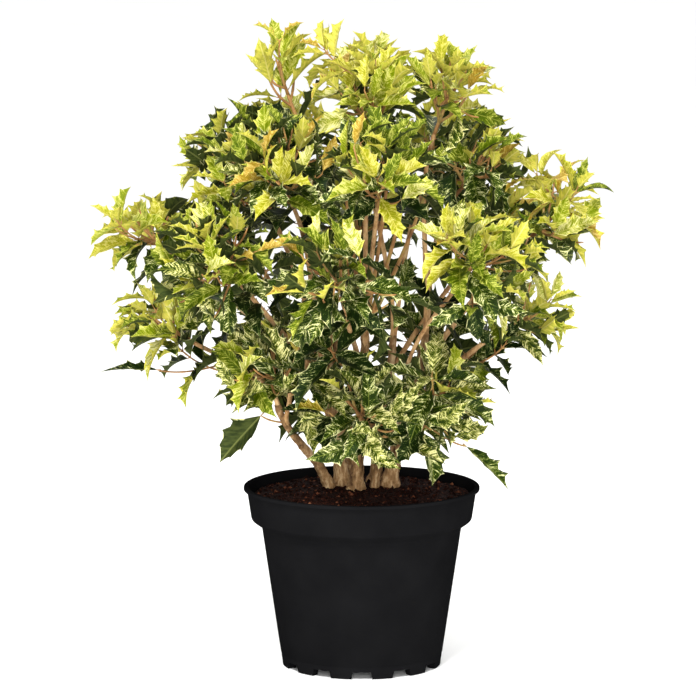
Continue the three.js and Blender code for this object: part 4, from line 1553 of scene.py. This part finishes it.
def bake_places(places, count):
    """The places of the leaves' corners in a square map in which each face of each leaf has its cell."""
    leaf = np.repeat(np.arange(count), BLADE_QUADS.size)
    is_under = np.tile(np.repeat((0, 1), TOP_QUADS.size), count)
    cells = math.ceil(math.sqrt(count))
    margin = 0.04
    narrow = (places[:, 0] - 0.5) / 0.8 + 0.5
    cell_x = leaf % cells + 0.5 * is_under + 0.5 * (margin + (1 - 2 * margin) * narrow)
    cell_y = leaf // cells + margin + (1 - 2 * margin) * places[:, 1]
    return np.stack((cell_x, cell_y), -1) / cells


def add_map(mesh, name, places):
    mesh.uv_layers.new(name=name).uv.foreach_set("vector", places.astype(np.float32).ravel())


def add_values(mesh, name, values):
    mesh.attributes.new(name, "FLOAT", "POINT").data.foreach_set("value", values.astype(np.float32))


def mark_margins(mesh):
    """Edges between a leaf's upper and under faces are sharp."""
    kinds = np.empty(len(mesh.polygons), np.int32)
    mesh.polygons.foreach_get("material_index", kinds)
    edges = np.empty(len(mesh.loops), np.int32)
    mesh.loops.foreach_get("edge_index", edges)
    is_under = np.repeat(kinds >= len(TINTS), 4)
    tops = np.zeros(len(mesh.edges), bool)
    unders = np.zeros(len(mesh.edges), bool)
    tops[edges[~is_under]] = True
    unders[edges[is_under]] = True
    sharp = mesh.attributes.new("sharp_edge", "BOOLEAN", "EDGE")
    sharp.data.foreach_set("value", tops & unders)


def make_leaves(mass, leaves, materials):
    """One piece for a mass's leaves."""
    count = len(leaves)
    quads = np.concatenate([BLADE_QUADS + i * LEAF_POINTS for i in range(count)])
    kinds = []
    for leaf in leaves:
        tint = tint_of(leaf, mass)
        under = len(TINTS) + (0 if tint in PALE_UNDER else 1)
        kinds += [TINT_NAMES.index(tint)] * len(TOP_QUADS) + [under] * len(UNDER_QUADS)
    points = np.concatenate([leaf_corners(leaf) for leaf in leaves])
    piece = make_piece(f"leaves_{mass['name']}", points, quads, materials, kinds)
    mesh = piece.data
    places = np.concatenate([leaf_places(leaf) for leaf in leaves])[quads.ravel()]
    add_map(mesh, LEAF_UV, places)
    add_map(mesh, "OFBake", bake_places(places, count))
    add_values(mesh, SEED_ATTRIBUTE, np.repeat([leaf["draw"] for leaf in leaves], LEAF_POINTS))
    add_values(mesh, EDGE_ATTRIBUTE, np.tile(leaf_edges(), count))
    mark_margins(mesh)
    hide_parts(f"mass_{mass['name']}")


def make_skeleton(masses):
    """The stems and the masses' boughs as curves, and close points of them all with their radii."""
    stems = {}
    samples = []
    for name, facts in STEMS.items():
        stem = {**facts, "curve": stem_curve(facts)}
        stems[name] = stem
        samples += [(*stem["curve"].at(share), stem_radius(stem, share)) for share in np.linspace(0, 1, 60)]
        for carried, share in stem["carries"].items():
            bough = bough_curve(stem, share, masses[carried])
            masses[carried]["bough"] = bough
            foot = stem_radius(stem, share) * BOUGH_SHARE_OF_STEM
            samples += [(*bough.at(t), bough_radius(foot, t)) for t in np.linspace(0, 1, 50)]
    return stems, np.array(samples)


def make_plant():
    """The limbs, and then the leaves: the named ones of every mass first, and the others round them."""
    masses = make_masses()
    stems, limbs = make_skeleton(masses)
    make_limbs(masses, stems)
    materials = [leaf_material(f"leaf_{name}", *facts) for name, facts in TINTS.items()]
    materials += [under_material(name, *colours) for name, colours in UNDERS.items()]
    twigs = twig_material()
    room = Room(masses, limbs)
    for mass in masses.values():
        random = series(mass["seed"] * TUFTS_SEED)
        mass["parents"] = main_shoots(mass)
        mass["tufts"] = tuft_shoots(mass, mass["parents"][0])
        single = [lone_leaf(mass, room, random)] if mass["name"] in LONE_LEAVES else []
        mass["leaves"] = single + grow_leaves(mass, mass["tufts"], room, random)
    for mass in masses.values():
        shoots = shoots_of(mass, mass["parents"], room)
        leaves = mass["leaves"] + grow_leaves(mass, shoots, room, series(mass["seed"] * LEAVES_SEED))
        make_twigs(mass, mass["tufts"] + bare_twigs(mass, stems) + shoots[:-1], leaves, twigs)
        make_leaves(mass, leaves, materials)


# The stage.
def turn_to(piece, place_at, way):
    piece.location = place_at
    piece.rotation_mode = "QUATERNION"
    piece.rotation_quaternion = way.to_track_quat("-Z", "Y")


def make_camera():
    rise = math.radians(CAMERA_RISE)
    back = Vector((0, -math.cos(rise), math.sin(rise)))
    data = bpy.data.cameras.new("camera")
    data.sensor_width = SENSOR_MM
    data.lens = SENSOR_MM * CAMERA_DISTANCE / (IMAGE_MM * MM)
    camera = show("camera", data)
    turn_to(camera, Vector(metres(CAMERA_AIM)) + back * CAMERA_DISTANCE, -back)
    bpy.context.scene.camera = camera


def make_light(name, place_at, size, power):
    data = bpy.data.lights.new(name, "AREA")
    data.shape = "SQUARE"
    data.size = size
    data.energy = power
    turn_to(show(name, data), place_at, Vector(LIGHTS_AIM) - Vector(place_at))


def make_floor():
    corners = [(x * FLOOR_HALF, y * FLOOR_HALF, 0) for x, y in ((-1, -1), (1, -1), (1, 1), (-1, 1))]
    mesh = bpy.data.meshes.new("floor")
    mesh.from_pydata(corners, [], [(0, 1, 2, 3)])
    nodes = Nodes("pale_floor")
    colour = nodes.ramp(nodes.noise(nodes.place(), 3.0), FLOOR_COLOURS)
    mesh.materials.append(nodes.finish(colour, 0.8, 0.2))
    show("floor", mesh)


def make_world():
    world = bpy.data.worlds.new("soft_world")
    world.use_nodes = True
    background = world.node_tree.nodes["Background"]
    background.inputs["Color"].default_value = (1.0, 1.0, 1.0, 1.0)
    background.inputs["Strength"].default_value = WORLD_STRENGTH
    bpy.context.scene.world = world


bpy.context.scene.view_settings.view_transform = "Standard"
make_camera()
make_pot()
make_mix()
make_plant()
make_floor()
make_world()
for name, (place_at, size, power) in LIGHTS.items():
    make_light(name, place_at, size, power)
